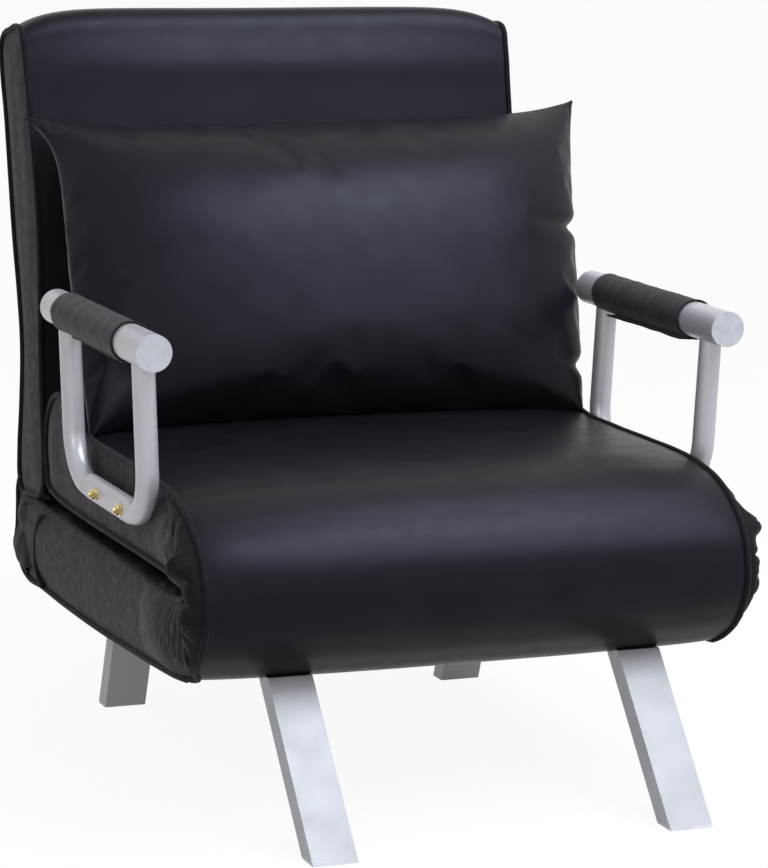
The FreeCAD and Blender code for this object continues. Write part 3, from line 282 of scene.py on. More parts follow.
def outward_normals(outline, closed):
    """The outline's normals in its own plane, pointing away from its inside."""
    count = len(outline)
    normals = []
    turning = 0.0
    for i in range(count):
        before = outline[i - 1] if closed or i else outline[i]
        after = outline[(i + 1) % count] if closed or i < count - 1 else outline[i]
        run = (after - before).normalized()
        normals.append(Vector((0, run.z, -run.y)))
        following = outline[(i + 1) % count]
        turning += outline[i].y * following.z - following.y * outline[i].z
    if turning < 0:
        normals = [-n for n in normals]
    return normals


def piece_from(bm, name, finishes):
    mesh = bpy.data.meshes.new(name)
    for face in bm.faces:
        face.smooth = len(face.verts) <= 4 and face.calc_area() > SLIVER
    bm.to_mesh(mesh)
    bm.free()
    for finish in finishes:
        mesh.materials.append(finish)
    piece = bpy.data.objects.new(name, mesh)
    bpy.context.collection.objects.link(piece)
    return piece


def face_outwards(bm, middle):
    """Turns the whole shell so that its faces look away from a point."""
    bmesh.ops.recalc_face_normals(bm, faces=bm.faces[:])
    looks = sum(f.normal.dot(f.calc_center_median() - middle) * f.calc_area() for f in bm.faces)
    if looks < 0:
        bmesh.ops.reverse_faces(bm, faces=bm.faces[:])


def vertices_of(made):
    return [g for g in made if isinstance(g, bmesh.types.BMVert)]


def close_slit(slit, gather):
    """Cuts the thin face along the middle of a side panel into short ones, so that it follows the panel."""
    slit.material_index = 1
    level = {vert: vert.co.z - gather(vert.co.y, vert.co.z)[1] for vert in slit.verts}
    above = sorted((v for v in slit.verts if level[v] > 0), key=lambda v: v.co.y)
    below = [v for v in slit.verts if level[v] <= 0]
    pieces = [slit]
    for vert in above[1:-1]:
        partner = min(below, key=lambda other: abs(other.co.y - vert.co.y))
        for face in pieces:
            if vert in face.verts and partner in face.verts:
                if not any(partner in edge.verts for edge in vert.link_edges):
                    pieces.append(bmesh.utils.face_split(face, vert, partner)[0])
                break


def swept_shell(
    outline, closed, lift, gather, side_form, inset, rings=12, sharp_row=None, sides_before=ALL_ROUND
):
    """An outline swept across the chair: leather over it, and cloth side panels gathered towards a line."""
    bm = bmesh.new()
    first = [bm.verts.new((-HALF, p.y, p.z)) for p in outline]
    following = first[1:] + (first[:1] if closed else [])
    edges = [bm.edges.new(pair) for pair in zip(first, following)]
    swept = bmesh.ops.extrude_edge_only(bm, edges=edges)["geom"]
    bmesh.ops.translate(bm, verts=vertices_of(swept), vec=(2 * HALF, 0, 0))
    across = [e for e in bm.edges if abs(e.verts[0].co.x - e.verts[1].co.x) > HALF]
    bmesh.ops.subdivide_edges(bm, edges=across, cuts=COLUMNS - 1, use_grid_fill=True)
    if sharp_row is not None:
        row = outline[sharp_row]
        for edge in bm.edges:
            if all(math.hypot(v.co.y - row.y, v.co.z - row.z) < TOUCHING for v in edge.verts):
                edge.smooth = False
    depths = {}
    for side in (-1, 1):
        rim = [
            e
            for e in bm.edges
            if all(v.co.x * side > HALF - TOUCHING and v.co.y < sides_before for v in e.verts)
        ]
        for edge in rim:
            edge.smooth = False
        for ring in range(rings):
            made = bmesh.ops.extrude_edge_only(bm, edges=rim)["geom"]
            fresh = set(vertices_of(made))
            share = (NEARLY_CLOSED if ring == rings - 1 else 1) / (rings - ring)
            for vert in fresh:
                target = gather(vert.co.y, vert.co.z)
                vert.co.y += (target[0] - vert.co.y) * share
                vert.co.z += (target[1] - vert.co.z) * share
                depths[vert] = ((ring + 1) / rings, side)
            for face in (g for g in made if isinstance(g, bmesh.types.BMFace)):
                face.material_index = 1
            rim = [g for g in made if isinstance(g, bmesh.types.BMEdge) and fresh.issuperset(g.verts)]
        if closed:
            close_slit(bmesh.ops.edgeloop_fill(bm, edges=rim)["faces"][0], gather)
    places = {(round(p.y, 5), round(p.z, 5)): i for i, p in enumerate(outline)}
    normals = outward_normals(outline, closed)
    for vert in bm.verts:
        y, z = vert.co.y, vert.co.z
        if vert in depths:
            depth, side = depths[vert]
            vert.co.x = side * (HALF - inset(y, z) + side_form(y, z, depth, side))
            continue
        across_share = min(1.0, abs(vert.co.x) / HALF)
        rise = lift(vert.co, across_share)
        vert.co.x *= 1 - inset(y, z) / HALF
        vert.co += normals[places[(round(y, 5), round(z, 5))]] * rise
    return bm


def corded_seam(name, paths, closed=False):
    """Piping: round cords along some paths."""
    bm = bmesh.new()
    for path in paths:
        curve = bpy.data.curves.new("cord", "CURVE")
        curve.dimensions = "3D"
        curve.bevel_depth = CORD_RADIUS
        curve.bevel_resolution = 3
        curve.use_fill_caps = not closed
        spline = curve.splines.new("POLY")
        spline.points.add(len(path) - 1)
        for knot, point in zip(spline.points, path):
            knot.co = (*point, 1)
        spline.use_cyclic_u = closed
        mesh = mesh_of(curve)
        bm.from_mesh(mesh)
        bpy.data.meshes.remove(mesh)
    return piece_from(bm, name, [CHEEK_SHADE_AND_PIPING_CLOTH])


def along_sides(outline, inset, proud=CORD_PROUD):
    """The outline as a path on each side of the chair."""
    return [
        [Vector((side * (HALF - inset(p.y, p.z) + proud), p.y, p.z)) for p in outline]
        for side in (-1, 1)
    ]


def nearest_on(a, b):
    """A rule that sends a point to the nearest one of a straight line."""
    run = (b[0] - a[0], b[1] - a[1])
    length = run[0] ** 2 + run[1] ** 2

    def rule(y, z):
        share = ramp((y - a[0]) * run[0] + (z - a[1]) * run[1], length)
        return (a[0] + run[0] * share, a[1] + run[1] * share)

    return rule


# The mattress, seen from the side: from the seat's rear round its front to the underside of the base
WRAP = smooth_line(
    [
        (0.242, 0.277), (0.250, 0.327), (0.237, 0.367), (0.203, 0.389), (0.150, 0.377), (0.084, 0.3595),
        (0.0, 0.3565), (-0.1, 0.3565), (-0.18, 0.3555), (-0.225, 0.3515), (-0.271, 0.3405), (-0.303, 0.323),
        (-0.330, 0.298), (-0.344, 0.268), (-0.3455, 0.235), (-0.332, 0.205), (-0.312, 0.182),
        (-0.291, 0.1660), (-0.266, 0.1610),
    ],
    9,
)
# The first rows turn over the seat's rear, and the seam across the seat lies after them
REAR_ROWS = 40
SEAM_Y = -0.05
FAN_Y = -0.2
split = next(i for i, p in enumerate(WRAP) if i > REAR_ROWS and p.y < SEAM_Y)
fan_start = next(i for i, p in enumerate(WRAP) if p.y < FAN_Y)
seat_top = WRAP[: split + 1]
front_line = WRAP[split:]
under_wrap = smooth_line([(-0.056, 0.3550), (-0.12, 0.3550), (-0.19, 0.3530)], 6)
hidden_front = smooth_line(
    [(-0.206, 0.3475), (-0.262, 0.335), (-0.289, 0.318), (-0.294, 0.295), (-0.2915, 0.268)], 5
)
seat_bottom = smooth_line(
    [
        (-0.283, 0.2555), (-0.262, 0.2612), (-0.230, 0.2640), (-0.13, 0.2640), (0.0, 0.2625), (0.12, 0.2630),
        (0.20, 0.2665), (0.232, 0.271),
    ],
    8,
)

# Where the gussets of the front fold gather, as y and z
CREASE = (-0.280, 0.2525)
# Where the inset of the sides starts, and how long it is at the seat and at the base
INSET_START = -0.30
SEAT_LENGTH = 0.54
BASE_LENGTH = 0.66
# The height of the seat's lower seams, and the least height of its top
SEAT_SEAM_Z = 0.285
SEAT_TOP_Z = 0.34


def corner_round(y, z):
    """How far the lower front corners of the mattress are drawn in."""
    return 0.011 * ramp(0.190 - z, 0.026) ** 2 * ramp(-0.225 - y, 0.066) ** 2


def seat_inset(y, z):
    return 0.004 * arch(ramp(y - INSET_START, SEAT_LENGTH))


def gap_folds(point, u):
    """Small folds of loose leather along the seams between the seat and the base."""
    return 0.0028 * ripple((point.x * 0.4, point.y * 1.1, 0), 46, 4) * arch(u ** 14)


def seat_lift(point, u):
    if point.z < SEAT_SEAM_Z:
        return crown(0.0055, u, 22) - gap_folds(point, u)
    top = ramp(point.z - SEAT_SEAM_Z, 0.05)
    rear = ramp(point.y - 0.16, 0.06)
    rise = crown(0.0095, u, 2.6) + crown(0.0035, u, 16)
    wave = 0.0007 * ripple((point.x, point.y * 1.5, point.z), 7, 3)
    pucker = 0.0006 * ripple((point.y, point.z, 0), 60, 5) * u ** 10
    return rise * top * (1 - 0.6 * rear) + (wave * (1 - u ** 6) + pucker) * top


def side_swell(amount, crease, scale, seed):
    """A side panel's form: a soft swell with creases that deepen away from its seams."""

    def form(y, z, depth, side):
        swell = amount * arch(min(depth * 1.15, 1) / 2)
        folds = ripple((side * 0.3, y * scale[0], z * scale[1]), 1, seed + side)
        return swell + crease * folds * min(1, depth * 2.5)

    return form


plain_seat_side = side_swell(0.004, 0.0020, (26, 12), 2)


def seat_side(y, z, depth, side):
    """The side swells towards the front and folds there, along curves round the crease."""
    reach = math.hypot(y - CREASE[0], z - CREASE[1])
    nearness = ramp(-0.165 - y, 0.07)
    ridge = math.sin(reach * 230 + 1.3 * ripple((y, z, side), 14, 5)) * 0.0024
    bulge = 0.009 * math.sin(math.pi * min(1, depth * 1.1) * 0.6)
    return plain_seat_side(y, z, depth, side) + (bulge + ridge * min(1, depth * 3)) * nearness


seat_shell = swept_shell(
    seat_top + under_wrap + hidden_front + seat_bottom,
    True,
    seat_lift,
    nearest_on((-0.235, 0.309), (0.196, 0.322)),
    seat_side,
    seat_inset,
    sharp_row=split,
)
face_outwards(seat_shell, Vector((0, 0, 0.31)))
seat_pad = piece_from(seat_shell, "seat_pad", [LEATHER, GUSSET])
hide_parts("seat_cover", "seat_foam", "seat_underpad")
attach(seat_pad, "seat")
seat_cord = corded_seam("seat_piping", along_sides(seat_bottom + WRAP[: fan_start + 1], seat_inset))
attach(seat_cord, "seat")


# The wrap over the front fold, with its puckered side gussets
# Where the gather line starts below, how far it bows and how high it is
GATHER_FOOT_Z = 0.172
GATHER_BOW = 0.016
GATHER_HEIGHT = 0.0805


def wrap_inset(y, z):
    return seat_inset(y, z) + corner_round(y, z)


def wrap_lift(point, u):
    turn = ramp(point.z - 0.165, 0.10)
    return seat_lift(Vector((point.x, point.y, max(point.z, SEAT_TOP_Z))), u) * (0.35 + 0.65 * turn)


def cheek_gather(y, z):
    """The gussets gather at the crease, and below it along a line that bows back over the base's side."""
    low = min(max(z, GATHER_FOOT_Z), CREASE[1])
    return (CREASE[0] + GATHER_BOW * math.sin(math.pi * (CREASE[1] - low) / GATHER_HEIGHT), low)


def pucker_form(y, z, depth, side):
    """The gusset swells out beyond its seam, and its folds run like a fan from the seam to the crease."""
    dy, dz = y - CREASE[0], z - CREASE[1]
    above = dz > 0
    angle = math.atan2(dz, -dy)
    turn = angle if above else dz / 0.055
    reach = math.hypot(dy, dz)
    ends = arch(ramp(turn + 1.62, 3.95)) ** 0.40
    lobes = 0.88 + 0.85 * bell(turn - 0.92, 0.22) + 0.20 * ripple((turn * 1.7, side * 3, 0), 1, 17)
    lobes += 0.25 * bell(turn + 0.30, 0.32)
    swell = 0.022 * arch(min(1, depth) ** 0.5) ** 1.1 * lobes
    wander = angle + 0.16 * ripple((reach * 16, angle * 1.3, side * 2), 1.4, 8 * side)
    broad = ripple((wander * 2.3, side * 5, reach * 5), 1, 4)
    often = 6.2 if above else 8.0
    valley = bell(math.sin(often * wander + 0.7 * side + 1.2 * broad), 0.32)
    growth = min(1, depth * 3.2) * (1 - 0.2 * depth)
    folds = 0.0085 * broad - 0.0115 * valley
    fine = 0.0030 * ripple((wander * 9, reach * 22, side * 3), 1, 6)
    sink = 0.014 * max(0, (depth - 0.70) / 0.30) ** 1.4
    return (swell + (folds + fine) * growth) * ends - sink - 0.003 * (1 - ends)


wrap_shell = swept_shell(
    front_line, False, wrap_lift, cheek_gather, pucker_form, wrap_inset, rings=24, sides_before=-0.198
)
face_outwards(wrap_shell, Vector((0, -0.24, 0.255)))
# The cheek gussets take the darker cloth, whose colour is painted shade in the fold
front_wrap = piece_from(wrap_shell, "front_wrap", [LEATHER, CHEEK_SHADE_AND_PIPING_CLOTH])
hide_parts("front_fold")
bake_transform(front_wrap)
front_cord = corded_seam("front_piping", along_sides(WRAP[fan_start:], wrap_inset))
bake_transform(front_cord)


# The base section
BASE_TOP_Z = 0.225
# Where the piping starts on the base's top
BASE_CORD_Y = 0.212
base_front = smooth_line([(-0.2885, 0.1675), (-0.2935, 0.190), (-0.2935, 0.222), (-0.2905, 0.241)], 5)
base_rest = smooth_line(
    [
        (-0.283, 0.2495), (-0.262, 0.2455), (-0.230, 0.2435), (-0.20, 0.2435), (-0.165, 0.2435),
        (-0.13, 0.2435), (-0.06, 0.2437), (0.0, 0.244), (0.08, 0.244), (0.15, 0.244), (0.25, 0.2435),
        (0.305, 0.2435), (0.348, 0.231), (0.369, 0.208), (0.3725, 0.186), (0.363, 0.160), (0.340, 0.147),
        (0.27, 0.1447), (0.177, 0.1427), (0.032, 0.1440), (-0.07, 0.1485), (-0.134, 0.1515), (-0.18, 0.1543),
        (-0.22, 0.1570), (-0.245, 0.1588), (-0.268, 0.1603),
    ],
    8,
)


def base_inset(y, z):
    return 0.004 * arch(ramp(y - INSET_START, BASE_LENGTH)) + corner_round(y, z)


def base_lift(point, u):
    if point.z <= BASE_TOP_Z:
        return 0.0
    rear = ramp(point.y - 0.25, 0.06)
    return (crown(0.0085, u, 22) + crown(0.002, u, 3) + gap_folds(point, u)) * (1 - rear)


plain_base_side = side_swell(0.0065, 0.0014, (15, 9), 9)


def base_side(y, z, depth, side):
    """Upright pleats gather towards the front, where the panel rounds off into the deep fold."""
    nearness = ramp(-0.15 - y, 0.11)
    middle = arch(ramp(z - 0.158, 0.087))
    wander = 2.6 * ripple((y, z * 0.6, side), 34, 3) + 1.1 * ripple((y, z, side), 90, 8)
    pleats = 0.0010 * math.sin(y * 600 + wander) * nearness * middle ** 0.5
    bulge = 0.009 * arch(ramp(-0.13 - y, 0.165) ** 0.8) * middle ** 0.6
    return plain_base_side(y, z, depth, side) + pleats + bulge


base_shell = swept_shell(
    base_front + base_rest,
    True,
    base_lift,
    nearest_on((-0.24, 0.2), (0.312, 0.193)),
    base_side,
    base_inset,
)
face_outwards(base_shell, Vector((0, 0, 0.195)))
base_pad = piece_from(base_shell, "base_pad", [LEATHER, GUSSET])
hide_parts("base_cover", "base_foam", "base_underpad")
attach(base_pad, "base")
panel_line = smooth_line(
    [
        (-0.283, 0.2500), (-0.262, 0.2460), (-0.230, 0.2435), (-0.10, 0.2437), (0.10, 0.2437),
        (0.225, 0.2430), (0.262, 0.236), (0.283, 0.214), (0.289, 0.188), (0.283, 0.163), (0.262, 0.1475),
    ],
    8,
)
base_rear = next(i for i, p in enumerate(base_rest) if p.y > BASE_CORD_Y)
base_paths = along_sides(base_rest[base_rear:], base_inset)
base_paths += along_sides(panel_line, base_inset, proud=0.0048)
base_cord = corded_seam("base_piping", base_paths)
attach(base_cord, "base")


# The back section, drawn upright about the recline pivot and then leant back
BACK_FOOT_Z = 0.06
BACK_FRONT_Y = -0.02
back_place = Matrix.Translation(RECLINE_PIVOT) @ Matrix.Rotation(-BACK_LEAN, 4, "X")
back_line = smooth_line(
    [
        (-0.050, 0.0605), (-0.062, 0.068), (-0.066, 0.090), (-0.0655, 0.15), (-0.066, 0.22), (-0.073, 0.30),
        (-0.0785, 0.36), (-0.077, 0.45), (-0.071, 0.53), (-0.066, 0.585), (-0.060, 0.608), (-0.044, 0.6165),
        (-0.010, 0.6165), (0.014, 0.6145), (0.030, 0.604), (0.0355, 0.58), (0.0325, 0.52), (0.0325, 0.44),
        (0.030, 0.37), (0.020, 0.30), (0.015, 0.24), (0.026, 0.17), (0.040, 0.11), (0.040, 0.078),
        (0.028, 0.0625), (0.0, 0.0605),
    ],
    8,
    closed=True,
)


def back_inset(y, z):
    return 0.005 * arch(ramp(z - BACK_FOOT_Z, 0.56))


def back_lift(point, u):
    top = ramp(point.z - 0.56, 0.055)
    low = ramp(point.z - BACK_FOOT_Z, 0.08)
    face = crown(0.010, u, 3) if point.y < BACK_FRONT_Y else crown(0.004, u, 4)
    wave = 0.0007 * ripple((point.x, point.y, point.z), 6, 7) * (1 - u ** 6) * low
    return face * low * (1 - top) + wave


back_shell = swept_shell(
    back_line,
    True,
    back_lift,
    nearest_on((-0.014, 0.115), (-0.018, 0.565)),
    side_swell(0.004, 0.0016, (34, 5), 12),
    back_inset,
)
for vert in back_shell.verts:
    height = ramp(vert.co.z - 0.50, 0.115)
    vert.co.z += crown(0.021, min(1, abs(vert.co.x) / HALF), 9) * height ** 2
face_outwards(back_shell, Vector((0, -0.015, 0.34)))
bmesh.ops.transform(back_shell, matrix=back_place, verts=back_shell.verts[:])
back_pad = piece_from(back_shell, "back_pad", [LEATHER, GUSSET])
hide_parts("back_cover", "back_foam", "back_rear_pad")
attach(back_pad, "back")
back_paths = [[back_place @ point for point in path] for path in along_sides(back_line, back_inset)]
back_cord = corded_seam("back_piping", back_paths, closed=True)
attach(back_cord, "back")


# The gathered band between the base and the back
band_line = smooth_line(
    [
        (0.362, 0.266), (0.376, 0.252), (0.3785, 0.225), (0.381, 0.200), (0.3865, 0.181), (0.378, 0.168),
        (0.356, 0.159), (0.330, 0.1500),
    ],
    9,
)


def band_inset(y, z):
    return 0.001


def band_lift(point, u):
    tuck = -0.006 * bell(point.z - 0.178, 0.02) * (1 - u ** 5)
    return tuck + 0.0012 * ripple((point.x * 0.8, point.y, point.z * 2), 18, 2)


def band_form(y, z, depth, side):
    """Loose cloth in two ears, above and below the pinch at the recline pivot."""
    folds = ripple((side, y * 46, z * 30), 1, 21 + side)
    pinch = bell(z - 0.204, 0.010)
    low = 0.55 + 0.45 * ramp(0.225 - z, 0.025)
    swell = 0.013 * arch(min(1, depth) ** 0.8) ** 0.8 * (1 - 0.6 * pinch) * low
    crumple = 0.007 * folds * min(1, depth * 3) * (1 - 0.6 * depth)
    ends = ramp(0.248 - z, 0.028) * ramp(z - 0.148, 0.012)
    return (swell + crumple) * ends - 0.002 * (1 - ends) - 0.005 * max(0, depth - 0.8) / 0.2


band_shell = swept_shell(
    band_line, False, band_lift, nearest_on((0.304, 0.228), (0.300, 0.165)), band_form, band_inset, rings=16
)
face_outwards(band_shell, Vector((0, 0.31, 0.20)))
rear_band = piece_from(band_shell, "rear_band", [GUSSET, GUSSET])
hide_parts("rear_fold")
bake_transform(rear_band)
band_cord = corded_seam("rear_band_piping", along_sides(band_line, band_inset))
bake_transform(band_cord)


# The loose pillow: a full form with pinned seams, whose slack cover is puffed out and puckers
PILLOW_HALF = (0.338, 0.180)
PILLOW_DEEP = 0.081
# Half the pillow's thickness at its seams, and how far from its middle a point still counts as seam
PILLOW_SEAM = 0.0022
SEAM_REACH = 0.0026
# The rows of the grid follow a sine, of which this is the last angle
GRID_TURN = math.pi / 2 * 0.93


def pillow_shape():
    """A closed grid, upright in x and y and thick along z, with ears at its four corners."""
    bm = bmesh.new()
    bmesh.ops.create_grid(bm, x_segments=116, y_segments=66, size=0.5)
    bmesh.ops.translate(bm, verts=bm.verts[:], vec=(0, 0, -0.5))
    made = bmesh.ops.extrude_face_region(bm, geom=bm.faces[:])["geom"]
    bmesh.ops.translate(bm, verts=vertices_of(made), vec=(0, 0, 1))
    bmesh.ops.recalc_face_normals(bm, faces=bm.faces[:])
    for vert in bm.verts:
        u, v, side = vert.co.x * 2, vert.co.y * 2, vert.co.z * 2
        u, v = (math.sin(GRID_TURN * w) / math.sin(GRID_TURN) for w in (u, v))
        roundness = 2.6 if v > 0 else 2.6 - 2.4 * v
        full = max(0, 1 - abs(u) ** 3.0) ** 0.55 * max(0, 1 - abs(v) ** roundness) ** 0.62
        pull_x = 0.010 * (1 - v ** 4)
        pull_y = 0.007 * (1 - u ** 6)
        half = PILLOW_HALF[0] - pull_x * abs(u) ** 3
        half += (-0.021 - 0.004 * v if u < 0 else 0.001 + 0.020 * v) - 0.013 * max(0, -v) ** 3
        vert.co.x = u * half
        vert.co.y = v * (PILLOW_HALF[1] + (0.026 if v < 0 else 0) - pull_y * abs(v) ** 3)
        vert.co.z = side * (PILLOW_SEAM + (PILLOW_DEEP - 0.010) * full)
        ear = max(0, u) ** 8 * max(0, v) ** 3
        notch = bell(u + 0.27, 0.05) * max(0, v) ** 12
        left_ear = max(0, -u) ** 10 * max(0, v) ** 8
        dents = (bell(v - 0.14, 0.05) + 0.7 * bell(v + 0.72, 0.045)) * max(0, u) ** 12
        rise = 0.008 * max(0, (u + 0.2) / 1.2) ** 2 * max(0, v) ** 3
        vert.co.x += 0.002 * ear - 0.029 * left_ear - 0.012 * dents
        vert.co.y += 0.009 * ear + 0.005 * left_ear - 0.006 * notch + rise
        vert.co += Vector((0, 0, side * 0.0009 * ripple(vert.co, 24, 6) * min(1, full * 3)))
    return bm


def puffed(piece, frames, pressure, slack, cap):
    """The piece's mesh after its cover is simulated, with each point moved by no more than the cap."""
    start = [v.co.copy() for v in piece.data.vertices]
    seam = piece.vertex_groups.new(name="seam")
    for vert in piece.data.vertices:
        if abs(vert.co.z) < SEAM_REACH:
            seam.add([vert.index], 1.0, "REPLACE")
    cloth = piece.modifiers.new("cloth", "CLOTH")
    settings = cloth.settings
    settings.quality = 6
    settings.mass = 0.25
    settings.tension_stiffness = 22
    settings.compression_stiffness = 14
    settings.shear_stiffness = 8
    settings.bending_stiffness = 5.0
    settings.vertex_group_mass = "seam"
    settings.pin_stiffness = 0.8
    settings.shrink_min = -slack
    settings.use_pressure = True
    settings.uniform_pressure_force = pressure
    settings.effector_weights.gravity = 0
    cloth.collision_settings.use_collision = False
    scene = bpy.context.scene
    for number in range(1, frames + 1):
        scene.frame_set(number)
    graph = bpy.context.evaluated_depsgraph_get()
    mesh = bpy.data.meshes.new_from_object(piece.evaluated_get(graph))
    piece.modifiers.remove(cloth)
    piece.vertex_groups.remove(seam)
    scene.frame_set(1)
    for vert, before in zip(mesh.vertices, start):
        move = vert.co - before
        vert.co = before + move * (cap / (cap + move.length))
    return mesh


pillow = piece_from(pillow_shape(), "pillow", [LEATHER])
pillow.data = puffed(pillow, frames=20, pressure=4.0, slack=0.005, cap=0.024)
bm = bmesh.new()
bm.from_mesh(pillow.data)
bmesh.ops.subdivide_edges(bm, edges=bm.edges[:], cuts=1, use_grid_fill=True, smooth=1.0)
PILLOW_LEAN = math.radians(25)
# How much fuller the pillow is behind its seams, and how far its upper edge sinks against the back
REAR_FULLNESS = 1.35
TOWARDS_BACK = Vector((0.016, 0.040, -0.008))
pillow_place = (
    Matrix.Translation((0, 0.169, 0.544))
    @ Matrix.Rotation(-PILLOW_LEAN, 4, "X")
    @ Matrix.Rotation(math.radians(90), 4, "X")
)
slouch = {}
for vert in bm.verts:
    vert.co.z *= REAR_FULLNESS if vert.co.z < 0 else 1
    slouch[vert] = max(0, vert.co.y / PILLOW_HALF[1]) ** 2
bmesh.ops.transform(bm, matrix=pillow_place, verts=bm.verts[:])
for vert, share in slouch.items():
    vert.co += TOWARDS_BACK * share
back_axis = Vector((0, math.sin(BACK_LEAN), math.cos(BACK_LEAN)))
back_front = Vector((0, -math.cos(BACK_LEAN), math.sin(BACK_LEAN)))
# The gap that the pillow keeps to the back and the seat
GAP = 0.001
# Where along the back its front stands out most, and a height above all of the seat
BACK_FULLEST = 0.39
ABOVE_SEAT_Z = 0.44


def seat_height(y, u):
    """The height of the seat's leather under a point."""
    line = min(seat_top, key=lambda p: abs(p.y - y) + (10 if p.z < SEAT_TOP_Z else 0))
    return line.z + seat_lift(Vector((u * HALF, line.y, line.z)), min(1, abs(u)))


for vert in bm.verts:
    u = min(1, abs(vert.co.x) / HALF)
    arm = vert.co - RECLINE_PIVOT
    depth = arm.dot(back_front)
    along = arm.dot(back_axis)
    fullest = min(max(along, BACK_FULLEST), along + 0.12)
    reach = 0.0665 + 0.012 * bell(fullest - BACK_FULLEST, 0.13) + 0.0105 * (1 - u ** 3)
    if depth < reach + GAP and abs(vert.co.x) < HALF + 0.01:
        vert.co += back_front * (reach + GAP - depth)
    if abs(vert.co.x) < HALF and vert.co.z < ABOVE_SEAT_Z:
        vert.co.z = max(vert.co.z, seat_height(vert.co.y, vert.co.x / HALF) + GAP)
bmesh.ops.recalc_face_normals(bm, faces=bm.faces[:])
for face in bm.faces:
    face.smooth = True
bm.to_mesh(pillow.data)
bm.free()
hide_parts("pillow_cover", "pillow_fill")
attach(pillow, "pillow")


# The cloth sleeves on the grips, each closed by a flap underneath
ARM_X = 0.3255
ARM_Z = 0.316
ARM_SPLAY = math.radians(2.5)
GRIP_RISE = 0.504 - ARM_Z
SLEEVE_FRONT, SLEEVE_REAR = -0.153, 0.078
SLEEVE_RADIUS = 0.0222
SLEEVE_CLOTH = 0.0016
FLAP_WIDTH, FLAP_LENGTH, FLAP_CLOTH = 0.020, 0.196, 0.0014
FLAP_Y, FLAP_Z = -0.047, -0.0243


def arm_place(side):
    return Matrix.Translation((side * ARM_X, 0, ARM_Z)) @ Matrix.Rotation(side * ARM_SPLAY, 4, "Y")


def sleeve(side, name):
    bm = bmesh.new()
    length = SLEEVE_REAR - SLEEVE_FRONT
    bmesh.ops.create_cone(bm, cap_ends=False, segments=56, radius1=0.0225, radius2=0.0225, depth=length)
    lengthwise = [e for e in bm.edges if abs(e.verts[0].co.z - e.verts[1].co.z) > 0.1]
    bmesh.ops.subdivide_edges(bm, edges=lengthwise, cuts=46, use_grid_fill=True)
    bmesh.ops.rotate(bm, verts=bm.verts[:], matrix=Matrix.Rotation(math.radians(90), 3, "X"))
    bmesh.ops.translate(bm, verts=bm.verts[:], vec=(0, (SLEEVE_FRONT + SLEEVE_REAR) / 2, 0))
    for vert in bm.verts:
        angle = math.atan2(vert.co.z, vert.co.x)
        end = min(vert.co.y - SLEEVE_FRONT, SLEEVE_REAR - vert.co.y)
        hem = 0.0006 * bell(end, 0.006)
        folds = 0.0007 * ripple((angle * 0.8, vert.co.y * 55, side), 1, 3)
        folds += 0.0004 * ripple(vert.co, 90, side)
        flap = 0.0013 * bell(angle + 1.25, 0.35, power=4)
        radius = SLEEVE_RADIUS + hem + folds + flap
        vert.co.x, vert.co.z = radius * math.cos(angle), radius * math.sin(angle)
        vert.co.y += 0.0015 * ripple((angle, 0, side * 4), 1.5, 7) * bell(end, 0.02)
    bmesh.ops.translate(bm, verts=bm.verts[:], vec=(0, 0, GRIP_RISE))
    bmesh.ops.recalc_face_normals(bm, faces=bm.faces[:])
    bmesh.ops.solidify(bm, geom=bm.faces[:], thickness=SLEEVE_CLOTH)
    bmesh.ops.transform(bm, matrix=arm_place(side), verts=bm.verts[:])
    piece = piece_from(bm, f"arm_sleeve_{name}", [SLEEVE])
    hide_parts(f"arm_pad_{name}")
    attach(piece, "seat")


def sleeve_flap(side, name):
    """The fastening tab that hangs a little proud under the sleeve."""
    bm = bmesh.new()
    bmesh.ops.create_grid(bm, x_segments=4, y_segments=40, size=0.5)
    bmesh.ops.scale(bm, verts=bm.verts[:], vec=(FLAP_WIDTH, FLAP_LENGTH, 1))
    for vert in bm.verts:
        across = vert.co.x
        vert.co.y += FLAP_Y
        waves = 0.0009 * ripple((across * 40, vert.co.y * 30, side), 1, 2)
        vert.co.z = FLAP_Z + 2.6 * across * across - waves
    made = bmesh.ops.extrude_face_region(bm, geom=bm.faces[:])["geom"]
    bmesh.ops.translate(bm, verts=vertices_of(made), vec=(0, 0, FLAP_CLOTH))
    bmesh.ops.translate(bm, verts=bm.verts[:], vec=(side * -0.004, 0, GRIP_RISE))
    bmesh.ops.recalc_face_normals(bm, faces=bm.faces[:])
    bmesh.ops.transform(bm, matrix=arm_place(side), verts=bm.verts[:])
    piece = piece_from(bm, f"arm_sleeve_flap_{name}", [SLEEVE])
    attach(piece, "seat")


for side, name in ((-1, "left"), (1, "right")):
    sleeve(side, name)
    sleeve_flap(side, name)


# The room: a pale floor, soft lights and the camera
def seen_rays(tree):
    """One for rays that show the room itself: from the camera, from reflections and through clear pieces."""
    rays = tree.nodes.new("ShaderNodeLightPath")
    field = rays.outputs["Is Camera Ray"]
    for kind in ("Is Glossy Ray", "Is Transmission Ray"):
        either = tree.nodes.new("ShaderNodeMath")
        either.operation = "MAXIMUM"
        tree.links.new(field, either.inputs[0])
        tree.links.new(rays.outputs[kind], either.inputs[1])
        field = either.outputs[0]
    return field


def mixed_surface(tree, share, plain, seen, out):
    """Shows one shader to the rays that a share picks out, and the plain one to the others."""
    mix = tree.nodes.new("ShaderNodeMixShader")
    tree.links.new(share, mix.inputs["Fac"])
    tree.links.new(plain.outputs[0], mix.inputs[1])
    tree.links.new(seen.outputs[0], mix.inputs[2])
    tree.links.new(mix.outputs[0], out.inputs["Surface"])


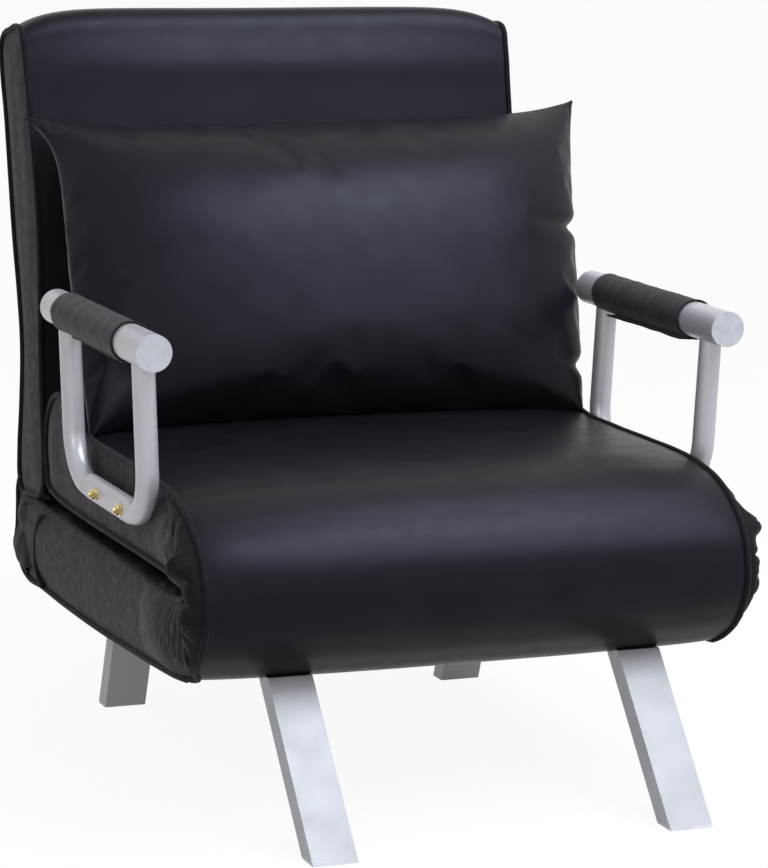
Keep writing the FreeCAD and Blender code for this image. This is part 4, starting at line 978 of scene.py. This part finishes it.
def studio_white(name, share):
    """A pale surface that the camera sees nearly white, with the object's shadow left on it."""
    material = bpy.data.materials.new(name)
    material.use_nodes = True
    tree = material.node_tree
    tree.nodes.clear()
    matte = tree.nodes.new("ShaderNodeBsdfDiffuse")
    matte.inputs["Color"].default_value = (0.9, 0.9, 0.9, 1)
    glow = tree.nodes.new("ShaderNodeEmission")
    glow.inputs["Color"].default_value = (1, 1, 1, 1)
    amount = tree.nodes.new("ShaderNodeMath")
    amount.operation = "MULTIPLY"
    amount.inputs[1].default_value = share
    tree.links.new(seen_rays(tree), amount.inputs[0])
    mixed_surface(tree, amount.outputs[0], matte, glow, tree.nodes.new("ShaderNodeOutputMaterial"))
    return material


FLOOR_HALF = 60
floor_bm = bmesh.new()
bmesh.ops.create_grid(floor_bm, x_segments=2, y_segments=2, size=FLOOR_HALF)
floor_mesh = bpy.data.meshes.new("floor")
floor_bm.to_mesh(floor_mesh)
floor_bm.free()
floor_mesh.materials.append(studio_white("floor_white", 0.93))
floor = bpy.data.objects.new("floor", floor_mesh)
bpy.context.collection.objects.link(floor)

world = bpy.data.worlds.new("studio")
bpy.context.scene.world = world
world.use_nodes = True
tree = world.node_tree
tree.nodes.clear()
dim = tree.nodes.new("ShaderNodeBackground")
dim.inputs["Color"].default_value = (0.86, 0.89, 1.0, 1)
dim.inputs["Strength"].default_value = 0.55
white = tree.nodes.new("ShaderNodeBackground")
white.inputs["Color"].default_value = (1, 1, 1, 1)
white.inputs["Strength"].default_value = 1.0
mixed_surface(tree, seen_rays(tree), dim, white, tree.nodes.new("ShaderNodeOutputWorld"))


def soft_light(name, place, target, width, depth, power, colour):
    data = bpy.data.lights.new(name, "AREA")
    data.shape = "RECTANGLE"
    data.size = width
    data.size_y = depth
    data.energy = power
    data.color = colour
    lamp = bpy.data.objects.new(name, data)
    lamp.location = place
    lamp.rotation_euler = (Vector(target) - Vector(place)).to_track_quat("-Z", "Y").to_euler()
    bpy.context.collection.objects.link(lamp)


soft_light(
    "overhead", (0.65, -0.60, 2.35), (0.0, -0.2, 0.4),
    width=1.7, depth=0.9, power=27, colour=(0.82, 0.90, 1.0),
)
soft_light(
    "front_right", (1.30, -1.50, 2.95), (0, 0.0, 0.6),
    width=2.0, depth=2.2, power=77, colour=(0.84, 0.91, 1.0),
)
soft_light(
    "front_left", (-2.3, -2.7, 1.5), (0, 0, 0.35),
    width=1.4, depth=1.4, power=25, colour=(1.0, 0.99, 0.98),
)
bpy.context.scene.view_settings.view_transform = "Standard"

# The camera's place, its turn about z, its height angle and its roll, fitted to the photograph
CAMERA_PLACE = (-1.41561, -3.6286, 1.05631)
AZIMUTH, ELEVATION, ROLL = -0.37958, 0.178, 0.01757
sight_right = Vector((math.cos(AZIMUTH), math.sin(AZIMUTH), 0))
sight_back = Vector(
    (
        math.sin(AZIMUTH) * math.cos(ELEVATION),
        -math.cos(AZIMUTH) * math.cos(ELEVATION),
        math.sin(ELEVATION),
    )
)
sight_up = sight_back.cross(sight_right)
rolled_right = sight_right * math.cos(ROLL) + sight_up * math.sin(ROLL)
rolled_up = sight_up * math.cos(ROLL) - sight_right * math.sin(ROLL)
camera_data = bpy.data.cameras.new("camera")
camera_data.lens = 143.27
camera_data.sensor_width = 36
camera_data.shift_x = -0.01303
camera_data.shift_y = 0.00677
camera = bpy.data.objects.new("camera", camera_data)
bpy.context.collection.objects.link(camera)
turned = Matrix((rolled_right, rolled_up, sight_back)).transposed().to_4x4()
camera.matrix_world = Matrix.Translation(CAMERA_PLACE) @ turned
bpy.context.scene.camera = camera
